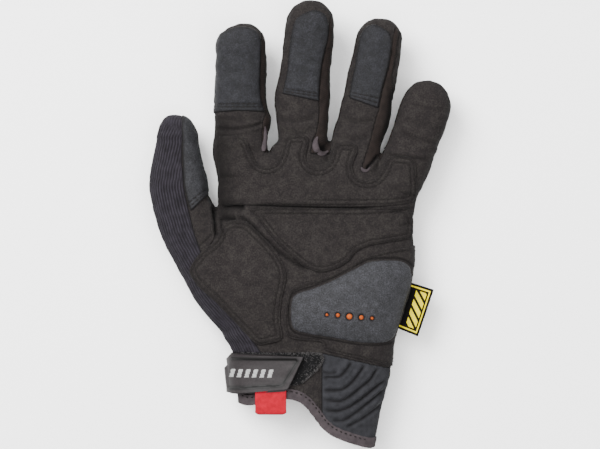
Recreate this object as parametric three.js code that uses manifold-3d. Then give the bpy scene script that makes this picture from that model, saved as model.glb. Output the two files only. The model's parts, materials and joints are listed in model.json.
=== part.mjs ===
// A left-hand impact work glove that lies on its back with the palm up.
//
// Millimetres. +X points to the little finger, +Y to the fingertips and +Z up, out of the palm.
// The origin is under the middle of the glove, on the surface that it lies on.
//
// The glove is a hollow hand form: the palm, four fingers and a thumb are closed bodies run
// through sections, joined, and hollowed by the same bodies drawn in by the wall. Seam lines
// cut that shell into the panels of a sewn glove. What is sewn or moulded on top is cut from
// thin layers of the same form, so that every patch, pad, strap and guard follows the hand.

import * as THREE from "three";
import { mergeVertices } from "three/addons/utils/BufferGeometryUtils.js";
import Module from "manifold-3d";

const wasm = await Module();
wasm.setup();

// Driving sizes of the hand form
const GLOVE_LENGTH = 251; // middle fingertip to the lowest corner of the hem
const PALM_WIDTH = 112; // across the palm, without the thumb
const PALM_DEPTH = 31; // back of the hand to the heel of the palm
const FINGER_DEPTH = 21;
const THUMB_WIDTH = 35;
const THUMB_DEPTH = 25;
const FINGER_CURL = 8; // how far the middle fingertip rises above the knuckles
const WALL = 2; // palm or back cloth with its thin foam
const SEAM = 0.3; // between panels sewn edge to edge, and between layers
const SQUARENESS = 2.5; // power of the rounded sections: 2 is an ellipse

// Driving sizes of what is sewn or moulded on
const OVERLAY = 1; // synthetic leather overlays and fingertip patches
const PAD = 3; // heel pad with its foam
const DOT_DEPTH = 2; // the coloured foam that shows in the pad's round holes
const DOT_WIDTH = 3.4; // diameter of the widest hole
const FOURCHETTE_WIDTH = 9; // strip between two fingers, from palm panel to back panel
const BINDING_WIDTH = 6;
const BINDING = 0.9; // each leg of the folded tape
const LOOP_PATCH = 1.2;
const STRAP = 1.6;
const STRAP_CAP = 1.8;
const TAB_WIDTH = 18;
const TAB_LENGTH = 13.5; // what shows below the strap
const TAB_TAPE = 1;
const TAB_FOLD = 3.2; // outside height of the folded tab
const TAB_TUCK = 2.4; // how far below the strap's edge the tab starts
const LABEL_WIDTH = 13.5;
const LABEL_LENGTH = 24;
const LABEL_THICKNESS = 0.8;
const LABEL_LEAN = 16; // degrees
const KNUCKLE_GUARD = 5.5;
const FINGER_GUARD = 3;
const GUARD_GROOVE = 1.6; // width and depth of the flex grooves in the guards
const SLIVER = 0.1; // faces thinner than this are smoothed away
const REST_FLAT = 1; // how far the back presses flat where the glove lies on it

// Palm sections from below the hem to the roots of the fingers. y, and skew, by which the
// little finger's end lies lower than the thumb's, are shares of GLOVE_LENGTH; left and right
// are shares of PALM_WIDTH; up and down are shares of PALM_DEPTH.
const PALM_SECTIONS = [
  { y: -0.56, left: -0.28, right: 0.35, skew: 0, up: 0.4, down: 0.455 },
  { y: -0.417, left: -0.3, right: 0.405, skew: 0.004, up: 0.42, down: 0.455 },
  { y: -0.335, left: -0.317, right: 0.453, skew: 0.004, up: 0.43, down: 0.455 },
  { y: -0.283, left: -0.335, right: 0.462, skew: 0.004, up: 0.46, down: 0.455 },
  { y: -0.237, left: -0.39, right: 0.484, skew: 0.009, up: 0.51, down: 0.445 },
  { y: -0.177, left: -0.429, right: 0.526, skew: 0.007, up: 0.56, down: 0.43 },
  { y: -0.11, left: -0.449, right: 0.564, skew: 0.007, up: 0.55, down: 0.41 },
  { y: -0.039, left: -0.429, right: 0.571, skew: 0.007, up: 0.49, down: 0.4 },
  { y: 0.025, left: -0.416, right: 0.569, skew: 0.013, up: 0.43, down: 0.4 },
  { y: 0.089, left: -0.421, right: 0.612, skew: 0.036, up: 0.38, down: 0.39 },
  { y: 0.126, left: -0.43, right: 0.655, skew: 0.072, up: 0.35, down: 0.36 },
  { y: 0.139, left: -0.425, right: 0.65, skew: 0.083, up: 0.2, down: 0.2, end: 1 },
];

// Fingers. root is a share of PALM_WIDTH and of GLOVE_LENGTH; lean is in degrees towards the
// little finger; tip is the length of the rounded end. In sections, along is a share of the
// finger's length; shift to the little finger's side and half the width are shares of its width.
const FINGERS = [
  {
    name: "index",
    root: [-0.295, 0.109],
    lean: 0.5,
    length: 0.3386 * GLOVE_LENGTH,
    width: 0.2554 * PALM_WIDTH,
    tip: 0.116 * PALM_WIDTH,
    sections: [
      { along: 0, shift: 0, half: 0.53 },
      { along: 0.26, shift: 0, half: 0.53 },
      { along: 0.36, shift: 0.035, half: 0.56 },
      { along: 0.47, shift: 0, half: 0.51 },
      { along: 0.68, shift: 0, half: 0.5 },
    ],
  },
  {
    name: "middle",
    root: [0.001, 0.109],
    lean: 3.8,
    length: 0.3936 * GLOVE_LENGTH,
    width: 0.2536 * PALM_WIDTH,
    tip: 0.125 * PALM_WIDTH,
    sections: [
      { along: 0, shift: 0, half: 0.52 },
      { along: 0.31, shift: -0.02, half: 0.51 },
      { along: 0.45, shift: -0.045, half: 0.55 },
      { along: 0.58, shift: -0.025, half: 0.5 },
      { along: 0.76, shift: 0, half: 0.495 },
    ],
  },
  {
    name: "ring",
    root: [0.271, 0.098],
    lean: 9.6,
    length: 0.3665 * GLOVE_LENGTH,
    width: 0.2464 * PALM_WIDTH,
    tip: 0.1205 * PALM_WIDTH,
    sections: [
      { along: 0, shift: -0.04, half: 0.53 },
      { along: 0.22, shift: -0.06, half: 0.52 },
      { along: 0.37, shift: 0, half: 0.54 },
      { along: 0.52, shift: 0, half: 0.51 },
      { along: 0.72, shift: 0.035, half: 0.49 },
    ],
  },
  {
    name: "little",
    root: [0.491, 0.08],
    lean: 17.3,
    length: 0.249 * GLOVE_LENGTH,
    width: 0.2536 * PALM_WIDTH,
    tip: 0.125 * PALM_WIDTH,
    sections: [
      { along: 0, shift: -0.01, half: 0.53 },
      { along: 0.26, shift: 0, half: 0.51 },
      { along: 0.5, shift: 0.03, half: 0.51 },
      { along: 0.68, shift: 0.05, half: 0.5 },
    ],
  },
];
const FINGER_CENTRE = 0.5; // finger sections are as high above their middle as below it

// Thumb sections from deep in the palm to the tip: x is a share of PALM_WIDTH, y of
// GLOVE_LENGTH, half of THUMB_WIDTH and deep of THUMB_DEPTH.
const THUMB_SECTIONS = [
  { x: -0.16, y: -0.25, half: 0.45, deep: 0.9 },
  { x: -0.344, y: -0.145, half: 0.56, deep: 1.06 },
  { x: -0.482, y: -0.05, half: 0.53, deep: 1.04 },
  { x: -0.58, y: 0.036, half: 0.505, deep: 1 },
  { x: -0.617, y: 0.091, half: 0.455, deep: 0.97 },
  { x: -0.618, y: 0.143, half: 0.385, deep: 0.9 },
  { x: -0.607, y: 0.188, half: 0.355, deep: 0.82 },
];
const THUMB_TIP = 12.5; // length of the rounded end past the last section
const THUMB_DROP = 1; // the thumb lies this much lower than the palm's middle

// Seam lines and outlines in plan. Each point is [share of PALM_WIDTH, share of GLOVE_LENGTH].
const HEM_LINE = [
  [-0.75, -0.355], [-0.32, -0.371], [-0.27, -0.387], [-0.14, -0.389], [-0.04, -0.384],
  [0.015, -0.395], [0.065, -0.42], [0.11, -0.447], [0.166, -0.467], [0.25, -0.481],
  [0.37, -0.497], [0.8, -0.535],
];
const CUFF_LINE = [[-0.9, -0.286], [0.11, -0.286], [0.48, -0.324], [0.9, -0.365]];
const CUFF_SEAM = [[0.11, -0.15], [0.11, -0.6]];
const THUMB_SEAM = [
  [-0.585, 0.9], [-0.585, 0.14], [-0.575, 0.08], [-0.55, 0.027], [-0.52, -0.025],
  [-0.48, -0.075], [-0.33, -0.19], [-0.19, -0.286], [-0.1, -0.4],
];
const THUMB_ROOT = [
  [-0.447, 0.9], [-0.44, 0.047], [-0.425, 0.035], [-0.42, -0.03], [-0.47, -0.07],
  [-0.7, -0.13], [-0.75, -0.9],
];

const UPPER_PALM_OUTLINE = [
  [-0.41, 0.045], [-0.413, 0.12], [-0.408, 0.188], [-0.385, 0.195], [-0.3, 0.195],
  [-0.262, 0.185], [-0.235, 0.156], [-0.205, 0.134], [-0.163, 0.127], [-0.118, 0.135],
  [-0.092, 0.157], [-0.075, 0.186], [-0.045, 0.196], [0.025, 0.196], [0.047, 0.182],
  [0.032, 0.15], [0.048, 0.131], [0.09, 0.124], [0.132, 0.129], [0.163, 0.148],
  [0.178, 0.172], [0.21, 0.18], [0.27, 0.178], [0.293, 0.165], [0.266, 0.13],
  [0.285, 0.103], [0.35, 0.096], [0.4, 0.112], [0.428, 0.136], [0.455, 0.151],
  [0.54, 0.149], [0.575, 0.138], [0.582, 0.11], [0.573, 0.055], [0.45, 0.046],
  [0.2, 0.042], [-0.05, 0.043], [-0.3, 0.046],
];
const MID_PALM_OUTLINE = [
  [-0.24, 0.032], [0, 0.033], [0.25, 0.031], [0.5, 0.035], [0.557, 0.02], [0.563, -0.01],
  [0.555, -0.03], [0.5, -0.037], [0.35, -0.049], [0.28, -0.064], [0.24, -0.085],
  [0.17, -0.102], [0.1, -0.107], [0.045, -0.1], [-0.04, -0.073], [-0.115, -0.042],
  [-0.175, -0.009], [-0.225, 0.02],
];
const THENAR_OUTLINE = [
  [-0.38, -0.002], [-0.32, 0.008], [-0.26, 0.003], [-0.21, -0.016], [-0.15, -0.043],
  [-0.1, -0.07], [-0.07, -0.098], [-0.065, -0.125], [-0.085, -0.165], [-0.094, -0.21],
  [-0.083, -0.252], [-0.15, -0.264], [-0.215, -0.265], [-0.31, -0.223], [-0.42, -0.172],
  [-0.5, -0.14], [-0.545, -0.11], [-0.535, -0.088], [-0.485, -0.06], [-0.42, -0.036],
];
const HEEL_OUTLINE = [
  [-0.065, -0.165], [-0.03, -0.138], [0.1, -0.12], [0.215, -0.101], [0.3, -0.077],
  [0.42, -0.06], [0.56, -0.05], [0.66, -0.05], [0.7, -0.12], [0.66, -0.2], [0.56, -0.28],
  [0.5, -0.313], [0.46, -0.317], [0.33, -0.303], [0.2, -0.289], [0.125, -0.279],
  [0.105, -0.262], [0, -0.257], [-0.06, -0.248], [-0.078, -0.215],
];
const PAD_OUTLINE = [
  [-0.037, -0.17], [-0.008, -0.154], [0.065, -0.143], [0.156, -0.127], [0.25, -0.105],
  [0.3, -0.088], [0.345, -0.077], [0.42, -0.074], [0.5, -0.076], [0.54, -0.088],
  [0.556, -0.108], [0.55, -0.135], [0.52, -0.18], [0.487, -0.23], [0.462, -0.252],
  [0.41, -0.262], [0.3, -0.261], [0.17, -0.251], [0.04, -0.241], [-0.02, -0.233],
  [-0.04, -0.214],
];
// Round holes in the heel pad, from the thumb's side: x and y as above, across as a share of
// the widest.
const PAD_DOTS = [
  { x: 0.135, y: -0.2, across: 0.53 },
  { x: 0.189, y: -0.201, across: 0.7 },
  { x: 0.246, y: -0.204, across: 1 },
  { x: 0.305, y: -0.206, across: 0.8 },
  { x: 0.358, y: -0.208, across: 0.56 },
];

// Fingertip patches: low is where the patch starts along the finger, as a share of its
// length; left and right are its edges as shares of the finger's width; top is a share too.
const TIP_PATCHES = [
  { finger: 0, low: 0.415, top: 0.96, left: -0.52, right: 0.41, slope: 0 },
  { finger: 1, low: 0.415, top: 0.92, left: -0.44, right: 0.33, slope: -0.035 },
  { finger: 2, low: 0.45, top: 0.93, left: -0.42, right: 0.26, slope: -0.05 },
];
const THUMB_PATCH_OUTLINE = [
  [-0.582, 0.222], [-0.545, 0.212], [-0.49, 0.19], [-0.46, 0.15], [-0.45, 0.09],
  [-0.44, 0.062], [-0.5, 0.043], [-0.541, 0.03], [-0.566, 0.08], [-0.577, 0.14],
];

const LOOP_PATCH_OUTLINE = [
  [-0.33, -0.272], [0.085, -0.269], [0.101, -0.279], [0.101, -0.35], [0.07, -0.363],
  [-0.02, -0.353], [-0.1, -0.34], [-0.33, -0.336],
];
const HOOK_END_OUTLINE = [
  [-0.03, -0.283], [0.09, -0.281], [0.112, -0.293], [0.105, -0.312], [0.05, -0.343],
  [0, -0.357], [-0.06, -0.355],
];
const STRAP_OUTLINE = [
  [-0.5, -0.286], [-0.2, -0.288], [0, -0.292], [0.015, -0.298], [-0.06, -0.36],
  [-0.08, -0.366], [-0.3, -0.374], [-0.5, -0.374],
];
const STRAP_CAP_OUTLINE = [
  [-0.42, -0.297], [-0.19, -0.298], [-0.02, -0.3], [-0.006, -0.305], [-0.08, -0.352],
  [-0.1, -0.358], [-0.3, -0.366], [-0.42, -0.366],
];
const STRAP_BACK_END = -0.02; // where the strap is sewn down on the back
const TAB_MIDDLE = -0.143;
const LABEL_AT = [0.515, -0.187];

// The knuckle guard on the back of the hand, and the finger guards as shares of each finger.
const KNUCKLE_GUARD_OUTLINE = [
  [-0.34, 0.02], [-0.375, 0.045], [-0.385, 0.1], [-0.36, 0.135], [-0.29, 0.142],
  [-0.15, 0.124], [0, 0.131], [0.12, 0.114], [0.26, 0.116], [0.38, 0.094], [0.49, 0.1],
  [0.55, 0.082], [0.545, 0.04], [0.5, 0.01], [0.3, 0.012], [0.1, 0.02], [-0.15, 0.022],
];
const KNUCKLE_GROOVES = [-0.16, 0.12, 0.37]; // between the knuckles, shares of PALM_WIDTH
const FINGER_GUARD_SPAN = { low: 0.36, high: 0.7, half: 0.3 };
const FINGER_GUARD_GROOVES = [0.47, 0.585]; // shares of the finger's length

// Colours and finishes
const cloth = (color, roughness = 0.9) =>
  new THREE.MeshStandardMaterial({ color, roughness, metalness: 0 });
const BLACK_SUEDE = cloth(0x37312e, 0.95);
const GREY_LEATHER = cloth(0x50535a, 0.75);
const RIB_KNIT = cloth(0x2f2d38);
const STRETCH_CLOTH = cloth(0x26262a);
const CUFF_FOAM = cloth(0x3a3c44);
const MAUVE_TAPE = cloth(0x6a5e66);
const HOOK_PILE = cloth(0x1f1f20, 1);
const BLACK_RUBBER = cloth(0x2c2a2b, 0.55);
const RED_TAPE = cloth(0xd0202f, 0.8);
const ORANGE_FOAM = cloth(0xd86a35, 0.8);
const LABEL_CLOTH = cloth(0xd9cf3a, 0.8);

// The ends of the digits inside the palm also move out with the skin.
const BURIED_END = -0.7;

// Worked-out heights: the back of the hand lies one knuckle guard above the surface.
const KNUCKLE_ROW = PALM_SECTIONS.findIndex((row) => row.y > 0);
const MID_HEIGHT =
  KNUCKLE_GUARD + SEAM + PALM_SECTIONS[KNUCKLE_ROW].down * PALM_DEPTH - REST_FLAT;
const CURL_FROM = PALM_SECTIONS.at(-1).y * GLOVE_LENGTH;
const FAR = 2 * GLOVE_LENGTH;

/** Height of the middle of the hand at y: level in the palm, rising along the fingers. */
function midHeight(y) {
  const share = Math.max(0, y - CURL_FROM) / (GLOVE_LENGTH / 2 - CURL_FROM);
  return MID_HEIGHT + FINGER_CURL * share ** 2;
}

const plan = ([x, y]) => new THREE.Vector2(x * PALM_WIDTH, y * GLOVE_LENGTH);

/** A closed geometry as a solid. */
function solidOf(geometry) {
  const bare = geometry.clone();
  bare.deleteAttribute("normal");
  bare.deleteAttribute("uv");
  const merged = mergeVertices(bare, 1e-4);
  return new wasm.Manifold(
    new wasm.Mesh({
      numProp: 3,
      vertProperties: merged.attributes.position.array,
      triVerts: new Uint32Array(merged.index.array),
    }),
  );
}

/** A solid as a named mesh, without the slivers that the cuts leave. */
function meshOf(name, solid, material) {
  const { vertProperties, triVerts } = solid.simplify(SLIVER).getMesh();
  const geometry = new THREE.BufferGeometry();
  geometry.setAttribute("position", new THREE.BufferAttribute(vertProperties, 3));
  geometry.setIndex(new THREE.BufferAttribute(triVerts, 1));
  geometry.computeVertexNormals();
  const mesh = new THREE.Mesh(geometry, material);
  mesh.name = name;
  return mesh;
}

/**
 * A closed body through sections, each with its middle, its unit direction to the right, its
 * half widths and its heights. `grow` moves the skin out, or in where it is negative; a
 * section whose `end` is 1 faces along the body, so it moves that way instead.
 */
function body(sections, sides, grow) {
  const geometry = new THREE.CylinderGeometry(1, 1, 1, sides, sections.length - 1);
  const spots = geometry.attributes.position;
  const rounded = (share) => Math.sign(share) * Math.abs(share) ** (2 / SQUARENESS);
  for (let i = 0; i < spots.count; i++) {
    const row = Math.round((spots.getY(i) + 0.5) * (sections.length - 1));
    const { middle, right, halfWidth, up, down, end = 0 } = sections[row];
    const out = grow * Math.sqrt(1 - end ** 2);
    const across = rounded(spots.getX(i)) * (halfWidth + out);
    const high = rounded(spots.getZ(i));
    const along = grow * end;
    spots.setXYZ(
      i,
      middle.x + right.x * across - right.y * along,
      middle.y + right.y * across + right.x * along,
      middle.z + high * ((high > 0 ? up : down) + out),
    );
  }
  return solidOf(geometry);
}

/** Sections of a rounded end: the last full section, drawn in over `reach`. */
function roundedEnd(last, reach) {
  return [30, 55, 75].map((degrees) => {
    const turn = THREE.MathUtils.degToRad(degrees);
    const ahead = reach * Math.sin(turn);
    const x = last.middle.x - last.right.y * ahead;
    const y = last.middle.y + last.right.x * ahead;
    return {
      middle: new THREE.Vector3(x, y, last.middle.z + midHeight(y) - midHeight(last.middle.y)),
      right: last.right,
      halfWidth: last.halfWidth * Math.cos(turn),
      up: last.up * Math.cos(turn),
      down: last.down * Math.cos(turn),
      end: Math.sin(turn),
    };
  });
}

function palmSections() {
  return PALM_SECTIONS.map(({ y, left, right, skew, up, down, end }) => {
    const from = new THREE.Vector2(left * PALM_WIDTH, (y + skew / 2) * GLOVE_LENGTH);
    const to = new THREE.Vector2(right * PALM_WIDTH, (y - skew / 2) * GLOVE_LENGTH);
    const middle = from.clone().add(to).divideScalar(2);
    return {
      middle: new THREE.Vector3(middle.x, middle.y, MID_HEIGHT),
      right: to.clone().sub(from).normalize(),
      halfWidth: from.distanceTo(to) / 2,
      up: up * PALM_DEPTH,
      down: down * PALM_DEPTH,
      end,
    };
  });
}

/** A point of a finger in plan: `along` and `aside` in millimetres from its root. */
function onFinger(finger, along, aside) {
  const lean = THREE.MathUtils.degToRad(finger.lean);
  return plan(finger.root).add(
    new THREE.Vector2(
      Math.sin(lean) * along + Math.cos(lean) * aside,
      Math.cos(lean) * along - Math.sin(lean) * aside,
    ),
  );
}

function fingerSections(finger) {
  const lean = THREE.MathUtils.degToRad(finger.lean);
  const right = new THREE.Vector2(Math.cos(lean), -Math.sin(lean));
  const section = (along, shift, half) => {
    const at = onFinger(finger, along, shift * finger.width);
    return {
      middle: new THREE.Vector3(at.x, at.y, midHeight(at.y)),
      right,
      halfWidth: half * finger.width,
      up: FINGER_DEPTH * FINGER_CENTRE,
      down: FINGER_DEPTH * (1 - FINGER_CENTRE),
    };
  };
  const rows = finger.sections.map(({ along, shift, half }, i) => ({
    ...section(along * finger.length, shift, half),
    end: i ? 0 : BURIED_END,
  }));
  const { shift, half } = finger.sections.at(-1);
  const last = section(finger.length - finger.tip, shift, half * 0.98);
  return [...rows, last, ...roundedEnd(last, finger.tip)];
}

function thumbSections() {
  const points = THUMB_SECTIONS.map(({ x, y }) => plan([x, y]));
  const rows = THUMB_SECTIONS.map(({ half, deep }, i) => {
    const before = points[Math.max(0, i - 1)];
    const after = points[Math.min(points.length - 1, i + 1)];
    const ahead = after.clone().sub(before).normalize();
    return {
      middle: new THREE.Vector3(points[i].x, points[i].y, MID_HEIGHT - THUMB_DROP),
      right: new THREE.Vector2(ahead.y, -ahead.x),
      halfWidth: half * THUMB_WIDTH,
      up: (deep * THUMB_DEPTH) / 2,
      down: (deep * THUMB_DEPTH) / 2,
      end: i ? 0 : BURIED_END,
    };
  });
  return [...rows, ...roundedEnd(rows.at(-1), THUMB_TIP)];
}

/** The whole hand form, with its skin moved out by `grow`. */
function handForm(grow, palmSides = 28, fingerSides = 14) {
  return [
    body(thumbSections(), fingerSides, grow),
    ...FINGERS.map((finger) => body(fingerSections(finger), fingerSides, grow)),
  ].reduce((hand, digit) => hand.add(digit), body(palmSections(), palmSides, grow));
}

/** A prism over a closed outline in plan. */
function prism(points, low = -FAR, high = FAR) {
  const geometry = new THREE.ExtrudeGeometry(new THREE.Shape(points), {
    depth: high - low,
    bevelEnabled: false,
  });
  return solidOf(geometry.translate(0, 0, low));
}

/** A smooth closed outline through points, with `count` straight steps. */
function smoothOutline(points, count) {
  const through = points.map(({ x, y }) => new THREE.Vector3(x, y, 0));
  const curve = new THREE.CatmullRomCurve3(through, true, "centripetal");
  return curve.getPoints(count).slice(0, -1).map(({ x, y }) => new THREE.Vector2(x, y));
}

/** A line in plan moved sideways: to the left of its travel where `aside` is positive. */
function movedLine(line, aside) {
  return line.map((point, i) => {
    const before = line[Math.max(0, i - 1)];
    const after = line[Math.min(line.length - 1, i + 1)];
    const ahead = after.clone().sub(before).normalize();
    return new THREE.Vector2(point.x - ahead.y * aside, point.y + ahead.x * aside);
  });
}

/** Everything on one side of a line in plan, from `aside` on; `towards` points to that side. */
function besideLine(line, towards, aside) {
  const points = line.map(plan);
  const ahead = points.at(-1).clone().sub(points[0]);
  const isLeft = ahead.x * towards[1] - ahead.y * towards[0] > 0;
  const edge = movedLine(points, isLeft ? aside : -aside);
  const away = new THREE.Vector2(...towards).multiplyScalar(FAR);
  return prism([...edge, edge.at(-1).clone().add(away), edge[0].clone().add(away)]);
}

/** Everything above the middle of the hand raised by `raise`, or below it. */
function besideMiddle(raise, isAbove) {
  const steps = 6;
  const shape = [[-FAR, midHeight(-FAR) + raise]];
  for (let i = 0; i <= steps; i++) {
    const y = CURL_FROM + ((GLOVE_LENGTH / 2 - CURL_FROM) * i) / steps;
    shape.push([y, midHeight(y) + raise]);
  }
  shape.push([GLOVE_LENGTH, shape.at(-1)[1]]);
  const end = isAbove ? FAR : -FAR;
  shape.push([GLOVE_LENGTH, end], [-FAR, end]);
  const geometry = new THREE.ExtrudeGeometry(
    new THREE.Shape(shape.map(([y, z]) => new THREE.Vector2(y, z))),
    { depth: 2 * FAR, bevelEnabled: false },
  );
  // The profile is drawn as (y, z) and runs along x.
  const turned = new THREE.Matrix4().set(0, 0, 1, -FAR, 1, 0, 0, 0, 0, 1, 0, 0, 0, 0, 0, 1);
  return solidOf(geometry.applyMatrix4(turned));
}

const above = besideMiddle(SEAM / 2, true);
const below = besideMiddle(-SEAM / 2, false);
const onSurface = prism(
  [[-FAR, -FAR], [FAR, -FAR], [FAR, FAR], [-FAR, FAR]].map(([x, y]) => new THREE.Vector2(x, y)),
  0,
  FAR,
);

// The hand form at the skin and hollowed, then cut at the hem
const skin = handForm(0);
const hollow = handForm(-WALL, 18, 10);
const insideHem = besideLine(HEM_LINE, [0, 1], 0);
const shell = skin.subtract(hollow).intersect(insideHem);

/** A layer of the palm side or the back between two heights over the skin. */
const layers = new Map();
function skinAt(height) {
  if (!layers.has(height)) layers.set(height, handForm(height));
  return layers.get(height);
}
function layer(low, high, half) {
  return skinAt(high).subtract(skinAt(low)).intersect(half);
}

// Panels
const group = new THREE.Group();
const add = (name, solid, material) => group.add(meshOf(name, solid, material));

const aboveCuff = shell.intersect(besideLine(CUFF_LINE, [0, 1], SEAM / 2));
const belowCuff = shell.intersect(besideLine(CUFF_LINE, [0, -1], SEAM / 2));
const thumbBack = aboveCuff.intersect(besideLine(THUMB_SEAM, [-1, 0], SEAM / 2));
const besideThumbBack = aboveCuff.intersect(besideLine(THUMB_SEAM, [1, 0], SEAM / 2));
const thumbFront = besideThumbBack.intersect(besideLine(THUMB_ROOT, [-1, 0], SEAM / 2));
const hand = besideThumbBack.intersect(besideLine(THUMB_ROOT, [1, 0], SEAM / 2));

/** The strip of shell between two neighbouring fingers, or the space for it with `room`. */
function fourchetteSpace(left, right, room) {
  const half = FOURCHETTE_WIDTH / 2 + room;
  const inset = SEAM / 2 - room;
  const outline = [
    onFinger(left, 0, inset),
    onFinger(left, 2 * left.length, inset),
    onFinger(right, 2 * right.length, -inset),
    onFinger(right, 0, -inset),
  ];
  return prism(outline)
    .intersect(besideMiddle(-half, true))
    .intersect(besideMiddle(half, false));
}

let handWithGaps = hand;
FINGERS.slice(1).forEach((right, i) => {
  const left = FINGERS[i];
  const strip = hand.intersect(fourchetteSpace(left, right, 0));
  handWithGaps = handWithGaps.subtract(fourchetteSpace(left, right, SEAM));
  add(`fourchette_${left.name}_${right.name}`, strip, STRETCH_CLOTH);
});

add("palm_panel", handWithGaps.intersect(above), BLACK_SUEDE);
add("back_panel", handWithGaps.intersect(below), STRETCH_CLOTH);
add("thumb_back_panel", thumbBack, RIB_KNIT);
add("thumb_front_panel", thumbFront, BLACK_SUEDE);

const cuffTop = belowCuff.intersect(above);
add("cuff_back_panel", belowCuff.intersect(below), STRETCH_CLOTH);
add("cuff_front_panel", cuffTop.intersect(besideLine(CUFF_SEAM, [-1, 0], SEAM / 2)), BLACK_SUEDE);
add("cuff_ribbed_panel", cuffTop.intersect(besideLine(CUFF_SEAM, [1, 0], SEAM / 2)), CUFF_FOAM);

// The tape folded over the hem
{
  const outside = skinAt(SEAM + BINDING).subtract(handForm(-WALL - SEAM - BINDING, 18, 10));
  const cloth = skinAt(SEAM).subtract(handForm(-WALL - SEAM, 18, 10));
  const strip = besideLine(HEM_LINE, [0, 1], -SEAM - BINDING).intersect(
    besideLine(HEM_LINE, [0, -1], -BINDING_WIDTH),
  );
  const room = cloth.intersect(besideLine(HEM_LINE, [0, 1], -SEAM));
  add("hem_binding", outside.intersect(strip).subtract(room), MAUVE_TAPE);
}

// Overlays on the palm
const overlay = layer(SEAM, SEAM + OVERLAY, above);
const cutFrom = (sheet, points, count) =>
  sheet.intersect(prism(smoothOutline(points.map(plan), count)));
const padRoom = prism(movedLine(smoothOutline(PAD_OUTLINE.map(plan), 44), SEAM));

add("upper_palm_overlay", cutFrom(overlay, UPPER_PALM_OUTLINE, 66), BLACK_SUEDE);
add("mid_palm_overlay", cutFrom(overlay, MID_PALM_OUTLINE, 40), BLACK_SUEDE);
add("thenar_overlay", cutFrom(overlay, THENAR_OUTLINE, 44), BLACK_SUEDE);
add("heel_overlay", cutFrom(overlay, HEEL_OUTLINE, 40).subtract(padRoom), BLACK_SUEDE);

// The heel pad, with coloured foam at the bottom of its round holes
{
  const pad = cutFrom(layer(SEAM, SEAM + PAD, above), PAD_OUTLINE, 44);
  const foam = layer(SEAM, SEAM + DOT_DEPTH, above);
  const round = (dot, room) =>
    prism(
      new THREE.Shape()
        .absarc(...plan([dot.x, dot.y]), (dot.across * DOT_WIDTH) / 2 + room, 0, 2 * Math.PI)
        .getPoints(5)
        .slice(0, -1),
    );
  const holes = PAD_DOTS.map((dot) => round(dot, SEAM));
  add("heel_pad", holes.reduce((solid, hole) => solid.subtract(hole), pad), GREY_LEATHER);
  PAD_DOTS.forEach((dot, i) =>
    add(`pad_dot_${i + 1}`, foam.intersect(round(dot, 0)), ORANGE_FOAM),
  );
}

// Fingertip patches
for (const { finger, low, top, left, right, slope } of TIP_PATCHES) {
  const digit = FINGERS[finger];
  const { length, width } = digit;
  const spot = (along, aside) => onFinger(digit, along * length, aside * width);
  const middle = (left + right) / 2;
  const outline = [
    spot(low - slope / 2, left), spot(low + slope / 2, right),
    spot((low + top) / 2, right + 0.02), spot(top - 0.1, right + 0.01),
    spot(top - 0.035, middle + 0.24), spot(top, middle + 0.05), spot(top - 0.035, middle - 0.24),
    spot(top - 0.1, left + 0.05), spot((low + top) / 2, left),
  ];
  add(`${digit.name}_tip_patch`, overlay.intersect(prism(outline)), GREY_LEATHER);
}
add("thumb_tip_patch", cutFrom(overlay, THUMB_PATCH_OUTLINE, 30), GREY_LEATHER);

// Closure at the wrist: pile sewn to the cuff, and the strap with its hook end and rubber cap
const loopTop = SEAM + LOOP_PATCH;
const strapLow = loopTop + SEAM;
const strapTop = strapLow + STRAP;
const outlined = (sheet, points) => sheet.intersect(prism(points.map(plan)));
{
  const strapPlan = prism(STRAP_OUTLINE.map(plan));
  const hookPlan = prism(HOOK_END_OUTLINE.map(plan));
  const backPlan = besideLine([[STRAP_BACK_END, -1], [STRAP_BACK_END, 1]], [-1, 0], 0);
  const wrapped = skinAt(strapTop).intersect(strapPlan).intersect(onSurface);
  const palmSide = wrapped.subtract(skinAt(strapLow)).intersect(above);
  const overBinding = skinAt(SEAM + BINDING + SEAM);
  const backSide = wrapped.subtract(overBinding).subtract(above).intersect(backPlan);
  const hooks = layer(strapLow, strapLow + STRAP / 2, above).intersect(hookPlan);
  add("loop_patch", outlined(layer(SEAM, loopTop, above), LOOP_PATCH_OUTLINE), HOOK_PILE);
  add("strap_band", palmSide.add(backSide).add(hooks), BLACK_RUBBER);
  const cap = layer(strapTop + SEAM, strapTop + SEAM + STRAP_CAP, above);
  add("strap_cap", outlined(cap, STRAP_CAP_OUTLINE), BLACK_RUBBER);
}

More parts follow.
